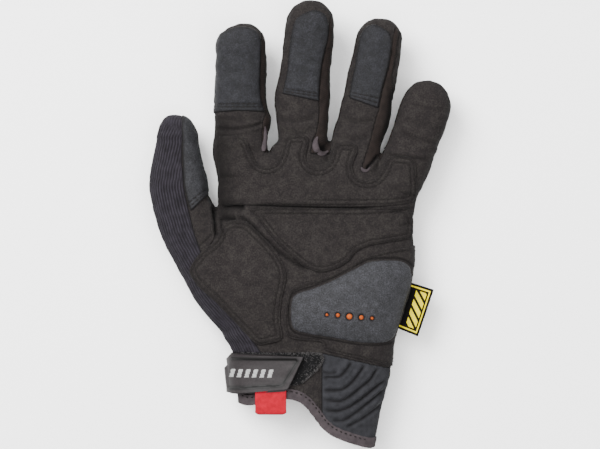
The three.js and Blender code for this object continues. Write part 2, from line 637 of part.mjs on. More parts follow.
// The red pull tab: a tape folded on itself, sewn on the hem beside the strap
{
  const middle = TAB_MIDDLE * PALM_WIDTH;
  const top = STRAP_OUTLINE[5][1] * GLOVE_LENGTH - TAB_TUCK;
  const radius = TAB_FOLD / 2;
  const inner = radius - TAB_TAPE;
  const profile = new THREE.Shape();
  profile.moveTo(0, radius);
  profile.lineTo(-TAB_LENGTH + radius, radius);
  profile.absarc(-TAB_LENGTH + radius, 0, radius, Math.PI / 2, -Math.PI / 2, false);
  profile.lineTo(0, -radius);
  profile.lineTo(0, -inner);
  profile.lineTo(-TAB_LENGTH + radius, -inner);
  profile.absarc(-TAB_LENGTH + radius, 0, inner, -Math.PI / 2, Math.PI / 2, true);
  profile.lineTo(0, inner);
  const geometry = new THREE.ExtrudeGeometry(profile, {
    depth: TAB_WIDTH,
    bevelEnabled: false,
    curveSegments: 6,
  });
  const bound = skinAt(SEAM + BINDING + SEAM);
  const under = bound.intersect(
    prism([[-1, -1], [1, -1], [1, 1], [-1, 1]].map(([x, y]) =>
      new THREE.Vector2(middle + x * TAB_WIDTH / 2, top - TAB_LENGTH / 2 + y * TAB_LENGTH / 2))),
  );
  const height = under.boundingBox().max[2] + radius;
  const turned = new THREE.Matrix4().set(
    0, 0, 1, middle - TAB_WIDTH / 2, 1, 0, 0, top, 0, 1, 0, height, 0, 0, 0, 1,
  );
  add("pull_tab", solidOf(geometry.applyMatrix4(turned)).subtract(bound), RED_TAPE);
}

// The side label stands out of the seam on the little finger's side
{
  const geometry = new THREE.BoxGeometry(LABEL_WIDTH * 2, LABEL_LENGTH, LABEL_THICKNESS);
  geometry.rotateZ(THREE.MathUtils.degToRad(-LABEL_LEAN));
  const at = plan(LABEL_AT);
  geometry.translate(at.x, at.y, MID_HEIGHT);
  add("side_label", solidOf(geometry).subtract(skinAt(SEAM + OVERLAY + SEAM)), LABEL_CLOTH);
}

// Guards on the back: the knuckle guard rests on the surface
{
  const sheet = layer(SEAM, SEAM + KNUCKLE_GUARD, below).intersect(onSurface);
  let guard = cutFrom(sheet, KNUCKLE_GUARD_OUTLINE, 40);
  const depth = KNUCKLE_GUARD - GUARD_GROOVE;
  for (const x of KNUCKLE_GROOVES) {
    const line = [[x, 0.065], [x, 0.3]].map(plan);
    const half = GUARD_GROOVE / 2;
    const slot = prism([...movedLine(line, half), ...movedLine(line, -half).reverse()]);
    guard = guard.subtract(slot.subtract(skinAt(SEAM + depth)));
  }
  add("knuckle_guard", guard, BLACK_RUBBER);
}
for (const finger of FINGERS) {
  const { low, high, half } = FINGER_GUARD_SPAN;
  const spot = (along, aside) =>
    onFinger(finger, along * finger.length, aside * finger.width);
  const outline = [
    spot(low, -half * 0.8), spot(low, half * 0.8), spot(low + 0.05, half),
    spot(high - 0.08, half), spot(high, half * 0.5), spot(high, -half * 0.5),
    spot(high - 0.08, -half), spot(low + 0.05, -half),
  ];
  const sheet = layer(SEAM, SEAM + FINGER_GUARD, below).intersect(onSurface);
  let guard = sheet.intersect(prism(outline));
  for (const along of FINGER_GUARD_GROOVES) {
    const line = [spot(along, -1), spot(along, 1)];
    const half = GUARD_GROOVE / 2;
    const slot = prism([...movedLine(line, half), ...movedLine(line, -half).reverse()]);
    guard = guard.subtract(slot.subtract(skinAt(SEAM + FINGER_GUARD - GUARD_GROOVE)));
  }
  add(`${finger.name}_guard`, guard, BLACK_RUBBER);
}

export default group;
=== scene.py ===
# %% [markdown]
# # An impact glove, palm up
#
# This is a left-hand work glove that lies on its back. The palm is thin synthetic suede with
# sewn overlays and a padded heel, the thumb's outer side is ribbed knit, and the cuff closes
# with a strap. We build it the way that a glove maker does: first the shape of the filled
# hand, then the panels that are cut from it, then what is sewn on top.
#
# We start by loading the solid model, which says where everything is.

# %% Load the frame
import json
import math
import random

import bmesh
import bpy
import numpy as np
from mathutils import Matrix, Vector, noise
from mathutils.bvhtree import BVHTree


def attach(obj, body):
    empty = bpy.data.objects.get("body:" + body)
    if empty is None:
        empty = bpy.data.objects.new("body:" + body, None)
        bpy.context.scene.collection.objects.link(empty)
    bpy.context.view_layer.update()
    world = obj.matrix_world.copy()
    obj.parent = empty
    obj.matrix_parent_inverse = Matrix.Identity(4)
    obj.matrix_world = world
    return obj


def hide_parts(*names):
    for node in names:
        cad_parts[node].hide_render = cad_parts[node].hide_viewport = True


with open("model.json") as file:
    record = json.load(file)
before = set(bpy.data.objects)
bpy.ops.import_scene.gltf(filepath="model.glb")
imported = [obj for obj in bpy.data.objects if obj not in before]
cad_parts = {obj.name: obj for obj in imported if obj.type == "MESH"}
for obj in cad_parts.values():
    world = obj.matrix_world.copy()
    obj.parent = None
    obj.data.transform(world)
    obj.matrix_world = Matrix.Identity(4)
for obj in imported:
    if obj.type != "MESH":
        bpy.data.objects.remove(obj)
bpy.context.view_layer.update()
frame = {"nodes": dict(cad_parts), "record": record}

random.seed(7)
print("frame loaded:", len(frame["nodes"]), "nodes")

# %% [markdown]
# ## Units and the camera
#
# Blender works in metres, but a glove is easier to think about in millimetres. So each piece
# is modelled in millimetres and made small when it is finished. Plan positions are written as
# the photograph's pixels, and `spot` turns one into millimetres: each pixel covers 0.56 mm.
#
# The photograph looks straight down from far away. A long lens does the same.

# %% Units and camera
MM = 0.001
PIXEL = 0.56  # mm of glove that one pixel covers
CENTRE_X, CENTRE_Y = 299.6, 224.0  # the pixel over the origin


def spot(px, py):
    """A pixel of the photograph as a point in plan, in millimetres."""
    return ((px - CENTRE_X) * PIXEL, (CENTRE_Y - py) * PIXEL)


def spots(points):
    """A run of the photograph's pixels as points in plan."""
    return [spot(*point) for point in points]


def add_object(name, data):
    """Puts a new object into the scene."""
    thing = bpy.data.objects.new(name, data)
    bpy.context.scene.collection.objects.link(thing)
    return thing


VIEW_HEIGHT = 1500.0  # mm from the lens to the middle of the glove
GLOVE_MIDDLE = 18.0  # mm over the floor
IMAGE_WIDTH, IMAGE_HEIGHT = 600, 449
SENSOR = 36.0  # mm

camera_data = bpy.data.cameras.new("camera")
camera_data.sensor_width = SENSOR
camera_data.lens = SENSOR * VIEW_HEIGHT / (IMAGE_WIDTH * PIXEL)
camera_data.clip_end = 10.0
camera = add_object("camera", camera_data)
eye_x, eye_y = spot(IMAGE_WIDTH / 2, IMAGE_HEIGHT / 2)
camera.location = Vector((eye_x, eye_y, VIEW_HEIGHT + GLOVE_MIDDLE)) * MM
bpy.context.scene.camera = camera
print("lens", round(camera_data.lens, 1), "mm")

# %% [markdown]
# ## Materials
#
# Each finish starts from what the real one is. Suede is short nap that scatters light at
# grazing angles, so it gets sheen; the grey patches are embossed with a pebbled grain; the
# knit and the tapes show their threads. Everything is drawn in Object coordinates and in real
# millimetres, so it stays put when the glove is turned.

# %% Helpers for materials
def linear(hex_colour):
    """An sRGB colour such as "35312e" as linear red, green, blue and alpha."""
    values = [int(hex_colour[i:i + 2], 16) / 255 for i in (0, 2, 4)]
    return [v / 12.92 if v <= 0.04045 else ((v + 0.055) / 1.055) ** 2.4 for v in values] + [1.0]


def add_node(material, kind, settings=None, **links):
    """Adds a shader node. A link gives an input its value, or the socket that feeds it."""
    tree = material.node_tree
    node = tree.nodes.new(kind)
    for name, value in (settings or {}).items():
        setattr(node, name, value)
    for name, value in links.items():
        key = int(name[1:]) if name[0] == "i" and name[1:].isdigit() else name.replace("_", " ")
        if isinstance(value, bpy.types.NodeSocket):
            tree.links.new(value, node.inputs[key])
        else:
            node.inputs[key].default_value = value
    return node


def new_material(name, roughness, sheen=0.0, specular=0.5):
    """A named material with its shader, and a place in Object coordinates in millimetres."""
    material = bpy.data.materials.new(name)
    material.use_nodes = True
    material.node_tree.nodes.clear()
    shader = add_node(material, "ShaderNodeBsdfPrincipled", Roughness=roughness,
                      Sheen_Weight=sheen, Sheen_Roughness=SHEEN_ROUGHNESS,
                      Specular_IOR_Level=specular)
    add_node(material, "ShaderNodeOutputMaterial", Surface=shader.outputs[0])
    where = add_node(material, "ShaderNodeTexCoord")
    place = add_node(material, "ShaderNodeVectorMath", {"operation": "SCALE"},
                     Vector=where.outputs["Object"], Scale=1 / MM)
    return material, shader, place.outputs[0]


def ramp(material, value, stops):
    """A colour ramp from a list of (position, hex colour)."""
    node = add_node(material, "ShaderNodeValToRGB", Fac=value)
    elements = node.color_ramp.elements
    while len(elements) < len(stops):
        elements.new(0.5)
    for element, (position, colour) in zip(elements, stops):
        element.position = position
        element.color = linear(colour)
    return node.outputs[0]


def finish_material(material, shader, colour, relief, strength, depth):
    """Links colour and bump, and paints shade: folds, grooves, seams and rims are darkened
    towards black as painted shade, each piece saying how much in its attribute "shade"; the label
    uses it for its woven pattern."""
    shade = add_node(material, "ShaderNodeAttribute", {"attribute_name": "shade"})
    darker = add_node(material, "ShaderNodeMix", {"data_type": "RGBA"},
                      i0=shade.outputs["Fac"], i6=colour, i7=linear(PAINTED_SHADE_AND_PATTERN_BLACK))
    bump = add_node(material, "ShaderNodeBump", Height=relief, Strength=strength,
                    Distance=depth * MM)
    material.node_tree.links.new(darker.outputs[2], shader.inputs["Base Color"])
    material.node_tree.links.new(bump.outputs[0], shader.inputs["Normal"])
    return material


SHEEN_ROUGHNESS = 0.4
# black for painted shade, and for the black of the label's woven pattern
PAINTED_SHADE_AND_PATTERN_BLACK = "050404"
WAVE_MM = 0.314  # the scale of a wave texture whose bands are one millimetre apart

# %% [markdown]
# ### Suede, grained leather and knit

# %% Suede
def make_suede():
    """Synthetic suede: fine brushed fibres, nearly black, and dull, because the nap takes up
    the light that falls between the fibres."""
    material, shader, place = new_material("synthetic_suede", 0.95, 0.02, 0.1)
    patches = add_node(material, "ShaderNodeTexNoise", Vector=place, Scale=0.2,
                       Detail=5.0, Roughness=0.65)
    nap = add_node(material, "ShaderNodeTexNoise", Vector=place, Scale=1.3,
                   Detail=4.0, Roughness=0.75)
    both = add_node(material, "ShaderNodeMath", {"operation": "MULTIPLY_ADD"},
                    i0=patches.outputs["Fac"], i1=0.4, i2=nap.outputs["Fac"])
    colour = ramp(material, both.outputs[0],
                  [(0.57, "110f0f"), (0.7, "181515"), (0.84, "22201e")])
    return finish_material(material, shader, colour, nap.outputs["Fac"], 0.5, 0.3)


def make_grained_leather(name, dark, middle, light):
    """Embossed synthetic leather: small pebbles about a millimetre across, with matt tops."""
    material, shader, place = new_material(name, 0.75, 0.02, 0.12)
    pebbles = add_node(material, "ShaderNodeTexVoronoi", {"feature": "DISTANCE_TO_EDGE"},
                       Vector=place, Scale=0.85)
    cloudy = add_node(material, "ShaderNodeTexNoise", Vector=place, Scale=0.25,
                      Detail=4.0, Roughness=0.65)
    fine = add_node(material, "ShaderNodeTexNoise", Vector=place, Scale=1.6,
                    Detail=4.0, Roughness=0.75)
    both = add_node(material, "ShaderNodeMath", {"operation": "MULTIPLY_ADD"},
                    i0=cloudy.outputs["Fac"], i1=0.35, i2=fine.outputs["Fac"])
    colour = ramp(material, both.outputs[0], [(0.54, dark), (0.67, middle), (0.82, light)])
    crown = ramp(material, pebbles.outputs["Distance"], [(0.0, "000000"), (0.25, "ffffff")])
    return finish_material(material, shader, colour, crown, 0.4, 0.2)


def make_cloth(name, dark, light, thread, roughness=0.9, sheen=0.02, relief=0.15, specular=0.1):
    """Knitted or woven cloth: two sets of threads `thread` millimetres apart, on the skew."""
    material, shader, place = new_material(name, roughness, sheen, specular)
    waves = []
    for turn in (0.9, -0.7):
        turned = add_node(material, "ShaderNodeMapping", Vector=place,
                          Rotation=(0.3, 0.2, turn))
        wave = add_node(material, "ShaderNodeTexWave", {"wave_profile": "SIN"},
                        Vector=turned.outputs[0], Scale=WAVE_MM / thread, Distortion=1.0,
                        Detail=2.0)
        waves.append(wave.outputs["Fac"])
    weave = add_node(material, "ShaderNodeMath", {"operation": "MULTIPLY"},
                     i0=waves[0], i1=waves[1])
    fade = add_node(material, "ShaderNodeTexNoise", Vector=place, Scale=0.3, Detail=4.0)
    both = add_node(material, "ShaderNodeMath", {"operation": "MULTIPLY_ADD"},
                    i0=weave.outputs[0], i1=0.7, i2=fade.outputs["Fac"])
    colour = ramp(material, both.outputs[0], [(0.35, dark), (1.0, light)])
    return finish_material(material, shader, colour, weave.outputs[0], 0.5, relief)


def make_moulded(name, dark, light, roughness, grain=0.9, specular=0.5):
    """Moulded rubber or foam: one colour with a fine matt grain from the mould."""
    material, shader, place = new_material(name, roughness, specular=specular)
    mottle = add_node(material, "ShaderNodeTexNoise", Vector=place, Scale=grain,
                      Detail=4.0, Roughness=0.6)
    colour = ramp(material, mottle.outputs["Fac"], [(0.3, dark), (0.7, light)])
    return finish_material(material, shader, colour, mottle.outputs["Fac"], 0.25, 0.1)


# %% The finishes
SUEDE = make_suede()
GRAINED = make_grained_leather("grained_synthetic_leather", "0d0d0e", "141416", "202024")
# a lighter copy of the grained leather, as painted light: the pad's crown catches more of the
# lamps
PAINTED_LIGHT_PAD_LEATHER = make_grained_leather("padded_grained_leather_painted_light", "171718", "212123", "303034")
# a lighter copy of the grained leather, as painted light for the thumb's patch, which turns away
# from the lamps
PAINTED_LIGHT_THUMB_LEATHER = make_grained_leather("thumb_grained_leather_painted_light", "141415", "1c1c1e", "2a2a2d")
RIB_KNIT = make_cloth("ribbed_nylon_knit", "110f12", "27242a", 0.5)
STRETCH = make_cloth("stretch_nylon_knit", "0e0b0a", "1f1917", 0.7)
FOAM_CLOTH = make_cloth("foam_backed_cloth", "131315", "252528", 0.55)
MAUVE_TAPE = make_cloth("nylon_binding_tape", "221e20", "393335", 0.5)
RED_TAPE = make_cloth("red_nylon_tape", "70000e", "980420", 0.45, roughness=0.7)
LABEL_CLOTH = make_cloth("woven_label", "a29406", "cebc10", 0.4)
PILE = make_moulded("fastener_pile_backing", "060606", "101011", 0.95, specular=0.08)
FIBRE = make_moulded("fastener_fibre", "181717", "3a3838", 0.7, specular=0.15)
THREAD = make_moulded("bonded_polyester_thread", "0a0908", "1a1716", 0.7, specular=0.1)
RUBBER = make_moulded("moulded_rubber", "151213", "201c1d", 0.6, specular=0.2)
PALE_INK = make_moulded("printed_white_ink", "707070", "8c8c8a", 0.6, specular=0.2)
ORANGE_FOAM = make_moulded("orange_foam", "702a06", "94450e", 0.8, specular=0.2)
FLOOR_PAPER = make_moulded("white_paper", "f2f2f2", "f8f8f8", 0.9)
print("finishes:", len(bpy.data.materials))

# %% [markdown]
# ## The filled hand
#
# A glove that lies filled has the shape of a hand. Each digit and the palm are rings of a
# rounded section, bridged to a closed body. The bodies overlap, and a voxel remesh joins them
# with the soft creases that sewn cloth has between the fingers. The tables hold shares of the
# glove's main sizes, as in the solid model.

# %% Sizes and section tables
# all in millimetres, but for the squareness of the rings
GLOVE_LENGTH = 251.0
PALM_WIDTH = 112.0
PALM_DEPTH = 31.0
FINGER_DEPTH = 21.0
THUMB_WIDTH = 35.0
THUMB_DEPTH = 25.0
FINGER_CURL = 8.0
SQUARENESS = 2.5
MID_HEIGHT = 17.2  # middle of the palm over the floor
CURL_FROM = 0.139 * GLOVE_LENGTH  # the y from which the fingers rise
THUMB_DROP = 1.0  # the thumb lies this much lower

# y, left, right, skew, up, down
PALM_ROWS = [
    (-0.560, -0.280, 0.350, 0.000, 0.40, 0.455),
    (-0.417, -0.300, 0.405, 0.004, 0.42, 0.455),
    (-0.335, -0.317, 0.453, 0.004, 0.43, 0.455),
    (-0.283, -0.338, 0.462, 0.004, 0.46, 0.455),
    (-0.260, -0.374, 0.470, 0.006, 0.485, 0.45),
    (-0.237, -0.390, 0.484, 0.009, 0.51, 0.445),
    (-0.177, -0.429, 0.526, 0.007, 0.56, 0.43),
    (-0.110, -0.449, 0.564, 0.007, 0.55, 0.41),
    (-0.039, -0.429, 0.571, 0.007, 0.49, 0.40),
    (0.025, -0.412, 0.569, 0.013, 0.43, 0.40),
    (0.089, -0.414, 0.598, 0.036, 0.38, 0.39),
    (0.126, -0.424, 0.622, 0.072, 0.35, 0.36),
    (0.139, -0.420, 0.615, 0.083, 0.20, 0.20),
]
# root x and y, lean in degrees, length, width, tip, and rows of along, shift, half
FINGERS = {
    "index": (-0.295, 0.109, 0.5, 85.0, 28.6, 13.0, [
        (0, 0.02, 0.49), (0.14, -0.02, 0.54), (0.26, 0, 0.53), (0.36, 0.035, 0.56),
        (0.47, 0, 0.51), (0.68, 0, 0.5)]),
    "middle": (0.001, 0.109, 3.8, 98.1, 28.4, 14.0, [
        (0, 0, 0.55), (0.137, -0.03, 0.57), (0.165, -0.015, 0.53), (0.2, 0.015, 0.49),
        (0.31, -0.02, 0.51), (0.45, -0.045, 0.55), (0.58, -0.025, 0.5), (0.76, 0, 0.495)]),
    "ring": (0.271, 0.098, 9.6, 92.0, 27.6, 13.5, [
        (0, -0.04, 0.53), (0.22, -0.08, 0.505), (0.31, -0.035, 0.515), (0.38, 0, 0.53),
        (0.52, 0, 0.51), (0.72, 0.035, 0.49)]),
    "little": (0.491, 0.08, 17.3, 63.4, 28.4, 15.4, [
        (0, -0.04, 0.48), (0.26, 0.01, 0.5), (0.41, 0.035, 0.49), (0.6, 0.045, 0.495),
        (0.7, 0.05, 0.5)]),
}
# x, y, half width, depth
THUMB_ROWS = [
    (-0.160, -0.250, 0.450, 0.90),
    (-0.344, -0.145, 0.560, 1.06),
    (-0.482, -0.050, 0.530, 1.04),
    (-0.545, -0.005, 0.500, 1.02),
    (-0.588, 0.036, 0.470, 1.00),
    (-0.600, 0.058, 0.455, 0.99),
    (-0.609, 0.088, 0.460, 0.97),
    (-0.618, 0.140, 0.392, 0.90),
    (-0.614, 0.181, 0.335, 0.82),
]
THUMB_TIP = 16.8
THUMB_TIP_ASIDE = -2.8
TIP_ASIDE = {"index": 1.4, "middle": 0.3, "ring": 0.0, "little": 0.0}


def smooth_line(points, per_piece=8, closed=False):
    """A smooth line through points (Catmull-Rom)."""
    points = [Vector(point) for point in points]
    count = len(points)
    pieces = count if closed else count - 1
    line = []
    for i in range(pieces):
        a, b, c, d = (points[(i + k) % count if closed else min(max(i + k, 0), count - 1)]
                      for k in (-1, 0, 1, 2))
        for step in range(per_piece):
            t = step / per_piece
            line.append(0.5 * (2 * b + (c - a) * t + (2 * a - 5 * b + 4 * c - d) * t ** 2
                               + (3 * b - a - 3 * c + d) * t ** 3))
    if not closed:
        line.append(points[-1])
    return [tuple(point) for point in line]


def mid_height(y):
    """Height of the middle of the hand: level in the palm, rising along the fingers."""
    share = np.maximum(0.0, y - CURL_FROM) / (GLOVE_LENGTH / 2 - CURL_FROM)
    return MID_HEIGHT + FINGER_CURL * share ** 2


def on_finger(name, along, aside):
    """A point in plan, in millimetres along a finger and to the little finger's side."""
    root_x, root_y, lean, length, width = FINGERS[name][:5]
    turn = math.radians(lean)
    return (root_x * PALM_WIDTH + math.sin(turn) * along + math.cos(turn) * aside,
            root_y * GLOVE_LENGTH + math.cos(turn) * along - math.sin(turn) * aside)


# %% Rings and bodies
SIDES = 56
TIP_TURNS = (18, 34, 50, 64, 76)  # degrees round a fingertip


def between_sections(sections, steps=4):
    """More sections, on smooth curves through the given ones."""
    rows = [(*middle, *right, half, up, down) for middle, right, half, up, down in sections]
    return [(Vector(row[:3]), Vector(row[3:6]).normalized(), *row[6:])
            for row in smooth_line(rows, steps)]


def ring(bm, middle, right, half, up, down):
    """One rounded section, as a circle pushed out to its half width and heights."""
    made = bmesh.ops.create_circle(bm, segments=SIDES, radius=1.0)["verts"]
    for vert in made:
        across = math.copysign(abs(vert.co.x) ** (2 / SQUARENESS), vert.co.x) * half
        high = math.copysign(abs(vert.co.y) ** (2 / SQUARENESS), vert.co.y)
        vert.co = middle + right * across + Vector((0, 0, high * (up if high > 0 else down)))
    return list({edge for vert in made for edge in vert.link_edges})


def body(bm, sections):
    """A closed body through sections."""
    rings = [ring(bm, *section) for section in sections]
    for before, after in zip(rings, rings[1:]):
        bmesh.ops.bridge_loops(bm, edges=before + after)
    for end in (rings[0], rings[-1]):
        bmesh.ops.contextual_create(bm, geom=end)


def rounded_end(section, reach, aside=0.0):
    """Sections that draw the last one in over `reach` millimetres, to one side if asked."""
    middle, right, half, up, down = section
    rows = []
    for turn in map(math.radians, TIP_TURNS):
        ahead = reach * math.sin(turn)
        point = middle + Vector((-right.y, right.x, 0)) * ahead
        point.z += float(mid_height(point.y) - mid_height(middle.y))
        small = math.cos(turn)
        point += right * aside * (1 - small)
        rows.append((point, right, half * small, up * small, down * small))
    return rows


def palm_sections():
    rows = []
    for y, left, right, skew, up, down in PALM_ROWS:
        start = Vector((left * PALM_WIDTH, (y + skew / 2) * GLOVE_LENGTH, MID_HEIGHT))
        end = Vector((right * PALM_WIDTH, (y - skew / 2) * GLOVE_LENGTH, MID_HEIGHT))
        rows.append(((start + end) / 2, (end - start).normalized(), (end - start).length / 2,
                     up * PALM_DEPTH, down * PALM_DEPTH))
    return between_sections(rows, 3)


def finger_sections(name):
    lean, length, width, tip, table = FINGERS[name][2:]
    turn = math.radians(lean)
    right = Vector((math.cos(turn), -math.sin(turn), 0))
    table = [(along * length, shift, half) for along, shift, half in table]
    table.append((length - tip, table[-1][1], table[-1][2] * 0.98))
    rows = []
    for along, shift, half in table:
        x, y = on_finger(name, along, shift * width)
        rows.append((Vector((x, y, float(mid_height(y)))), right, half * width,
                     FINGER_DEPTH / 2, FINGER_DEPTH / 2))
    return between_sections(rows) + rounded_end(rows[-1], tip, TIP_ASIDE[name])


def thumb_sections():
    points = [Vector((x * PALM_WIDTH, y * GLOVE_LENGTH, MID_HEIGHT - THUMB_DROP))
              for x, y, _, _ in THUMB_ROWS]
    rows = []
    for i, (_, _, half, deep) in enumerate(THUMB_ROWS):
        ahead = (points[min(i + 1, len(points) - 1)] - points[max(i - 1, 0)]).normalized()
        rows.append((points[i], Vector((ahead.y, -ahead.x, 0)), half * THUMB_WIDTH,
                     deep * THUMB_DEPTH / 2, deep * THUMB_DEPTH / 2))
    return between_sections(rows) + rounded_end(rows[-1], THUMB_TIP, THUMB_TIP_ASIDE)


# %% Join the bodies into one skin
VOXEL = 0.9


def evaluated(thing):
    """The mesh of an object with its modifiers applied."""
    graph = bpy.context.evaluated_depsgraph_get()
    graph.update()
    return bpy.data.meshes.new_from_object(thing.evaluated_get(graph))


def through_modifiers(mesh, *steps):
    """A copy of a mesh after modifiers, each given as (kind, settings)."""
    helper = add_object("helper", mesh)
    for kind, settings in steps:
        modifier = helper.modifiers.new(kind.lower(), kind)
        for name, value in settings.items():
            setattr(modifier, name, value)
    result = evaluated(helper)
    bpy.data.objects.remove(helper)
    return result


def thickened(mesh, thickness, offset=-1.0):
    """A sheet made solid: inwards, or with an offset of 0 to both sides."""
    return through_modifiers(mesh, ("SOLIDIFY", {"thickness": thickness, "offset": offset}))


def make_skin():
    """The palm, the thumb and the fingers as one closed skin."""
    bm = bmesh.new()
    body(bm, palm_sections())
    body(bm, thumb_sections())
    for name in FINGERS:
        body(bm, finger_sections(name))
    bmesh.ops.recalc_face_normals(bm, faces=bm.faces)
    rough = bpy.data.meshes.new("rough_hand")
    bm.to_mesh(rough)
    bm.free()
    return through_modifiers(
        rough,
        ("REMESH", {"mode": "VOXEL", "voxel_size": VOXEL, "adaptivity": 0.0}),
        ("SMOOTH", {"factor": 0.5, "iterations": 14}),
    )


skin = make_skin()
print("skin:", len(skin.vertices), "points")

# %% [markdown]
# ## Folds and seams in the skin
#
# Cloth over a hand folds where the hand bends and puckers where it is sewn. We push points of
# the skin in along a fold's line, with a low ridge on each side of it, and paint shade into
# the fold. The lines were read off the photograph. numpy does this for all points at once.

# %% Distance to a line, and folds
def read_points(mesh, kind="co"):
    """A mesh's points, or with kind "normal" their normals, as rows of x, y and z."""
    values = np.empty(len(mesh.vertices) * 3, np.float32)
    mesh.vertices.foreach_get(kind, values)
    return values.reshape(-1, 3).astype(float)


def move_points(mesh, rows):
    """Puts a mesh's points at new places."""
    mesh.vertices.foreach_set("co", rows.astype(np.float32).ravel())
    mesh.update()


def line_distance(plan, line):
    """Distance of plan points to a line of straight pieces, and how far along it they are."""
    best = np.full(len(plan), 1e9)
    along = np.zeros(len(plan))
    line = np.asarray(line, float)
    lengths = np.hypot(*(line[1:] - line[:-1]).T)
    total, before = lengths.sum(), 0.0
    for start, end, length in zip(line, line[1:], lengths):
        step = (end - start) / max(length, 1e-9)
        t = np.clip((plan - start) @ step, 0.0, length)
        gap = np.hypot(*(plan - start - t[:, None] * step).T)
        nearer = gap < best
        best[nearer] = gap[nearer]
        along[nearer] = ((before + t) / total)[nearer]
        before += length
    return best, along


def fade(value, low, high):
    """0 below low, 1 above high, smooth between."""
    t = np.clip((value - low) / (high - low), 0.0, 1.0)
    return t * t * (3 - 2 * t)


# depth and width in millimetres, ridge as a share of the depth, darkness of the painted shade in
# the fold, the line in pixels
FOLDS = [
    # from the web of the thumb down along the middle panel
    (2.0, 0.95, 0.35, 0.9, [(234, 219.4), (242, 218.4), (250.2, 223.5), (260.4, 233.7),
                            (272.7, 244.9), (282.9, 254), (297, 263.5), (311, 270.5)]),
    # pockets in the web of the thumb
    (2.6, 2.2, 0.1, 1.0, [(218, 206.5), (232, 206), (246, 207)]),
    (2.2, 1.6, 0.1, 1.0, [(220, 217.5), (229, 218.8), (237, 218.6)]),
    # beside the web, down to the patch on the ball of the thumb
    (1.9, 1.2, 0.4, 0.9, [(211, 197), (215, 206), (216.3, 222), (217.6, 238)]),
    (0.9, 0.8, 0.4, 0.6, [(220, 207), (221.3, 220), (223, 235)]),
    # a shallow hollow beside the index finger's root, with a broad band of painted shadow
    (0.7, 8.0, 0.0, 0.62, [(221, 112), (222, 150), (222.5, 180), (224, 224)]),
    (0.3, 3.0, 0.0, 0.5, [(226, 150), (226.5, 175), (227, 200)]),
    # the slit above the middle panel, painted black as its shadow
    (1.2, 1.15, 0.2, 1.0, [(249, 205), (271, 205.4), (300, 206.6), (335, 207.8), (377, 209)]),
    # the upper edge of the patch on the ball of the thumb, drawn as a line of painted shade
    (0.3, 0.8, 0.2, 0.7, [(214, 232), (208, 238.5), (201, 244.5), (193, 250)]),
    # under the patch of the index finger
    (1.0, 0.9, 0.5, 0.6, [(213, 129.6), (237, 129.8), (252, 127), (265, 123)]),
    (0.5, 1.3, 0.4, 0.2, [(214, 119), (240, 121.5), (266, 117)]),
    (0.5, 1.5, 0.4, 0.2, [(226, 152), (242, 149), (262, 151)]),
    # across the middle, ring and little fingers
    (0.6, 1.3, 0.5, 0.25, [(277, 118), (295, 122), (318, 117)]),
    (0.5, 1.3, 0.5, 0.2, [(277, 131), (300, 134), (316, 129)]),
    (0.7, 1.3, 0.5, 0.25, [(340, 116), (355, 123), (376, 121)]),
    (0.5, 1.3, 0.5, 0.2, [(333, 136), (352, 140), (371, 138)]),
    (0.7, 1.4, 0.5, 0.3, [(398, 131), (414, 139), (444, 146)]),
    (0.5, 1.4, 0.5, 0.2, [(402, 118), (425, 127), (449, 130)]),
    (0.5, 1.3, 0.4, 0.2, [(408, 104), (430, 110), (450, 112)]),
    (1.0, 1.0, 0.4, 0.6, [(384, 154), (400, 157), (429, 160.5)]),
    # the open ends of the webs, painted black as shadow, and a band of painted shadow down the
    # ring finger's side
    (2.4, 2.4, 0.0, 1.0, [(317.5, 149), (322.6, 148.8), (328, 148)]),
    (0.1, 2.8, 0.0, 0.9, [(392, 88), (390.5, 108), (387, 128), (381, 149)]),
    (1.5, 0.8, 0.1, 1.0, [(365, 170), (371, 163.5), (378, 155)]),
    # out to the little finger's side of the palm
    (0.8, 1.2, 0.4, 0.4, [(386, 213), (400, 211), (413, 207)]),
    (0.6, 1.3, 0.4, 0.3, [(396, 226), (408, 224), (416, 220)]),
    # wrist
    (0.5, 1.8, 0.4, 0.1, [(225, 338), (245, 343), (290, 345)]),
    (0.8, 1.6, 0.4, 0.3, [(216, 306), (223, 318), (228, 332)]),
    # a second seam beside the cuff's seam
    (0.5, 0.5, 0.3, 0.5, [(319.2, 356), (319.2, 380), (319.2, 416)]),
    # channels pressed into the foam cloth of the cuff
    (0.9, 0.8, 0.3, 0.8, [(322, 371.5), (330, 372), (337, 371)]),
    (1.1, 0.9, 0.35, 0.9, [(322, 375.7), (332.2, 376.2), (338.9, 375.6), (343.3, 372.2),
                           (347.8, 366.7), (351.5, 360)]),
    (1.1, 0.9, 0.35, 0.9, [(322, 388.7), (334.4, 389.4), (343.3, 387.8), (351, 382.2),
                           (356.7, 375.6), (361.1, 369.4), (365, 363)]),
    (1.1, 0.9, 0.35, 0.9, [(322, 397.6), (334.4, 399.8), (343.3, 398.9), (352.2, 393.3),
                           (362.2, 385.6), (370, 378.9), (374.4, 372.2), (379, 365)]),
    (1.1, 0.9, 0.35, 0.9, [(322, 408), (336.7, 409.8), (347.8, 406.7), (356.7, 401.1),
                           (365.6, 395), (374.4, 387.8), (387, 378)]),
    (1.0, 0.9, 0.35, 0.8, [(330, 418.7), (342.2, 419.4), (350, 415.6), (361.1, 407.8),
                           (372.2, 398.9), (378.9, 393.3), (386, 387)]),
    (0.9, 0.9, 0.35, 0.7, [(344, 426.5), (352.2, 423.3), (362.2, 417.8), (372.2, 411.1),
                           (377.8, 406.7), (383, 401)]),
]
# mounds in millimetres: height, radius along x and y, and the middle in pixels
MOUNDS = [
    (2.2, 20, 26, (240, 285)),  # ball of the thumb
    (1.3, 13, 12, (243, 178)),
    (1.3, 13, 12, (297, 172)),
    (1.2, 13, 12, (345, 176)),
    (1.0, 12, 12, (396, 188)),
    (-1.6, 24, 14, (310, 232)),  # hollow of the palm
]


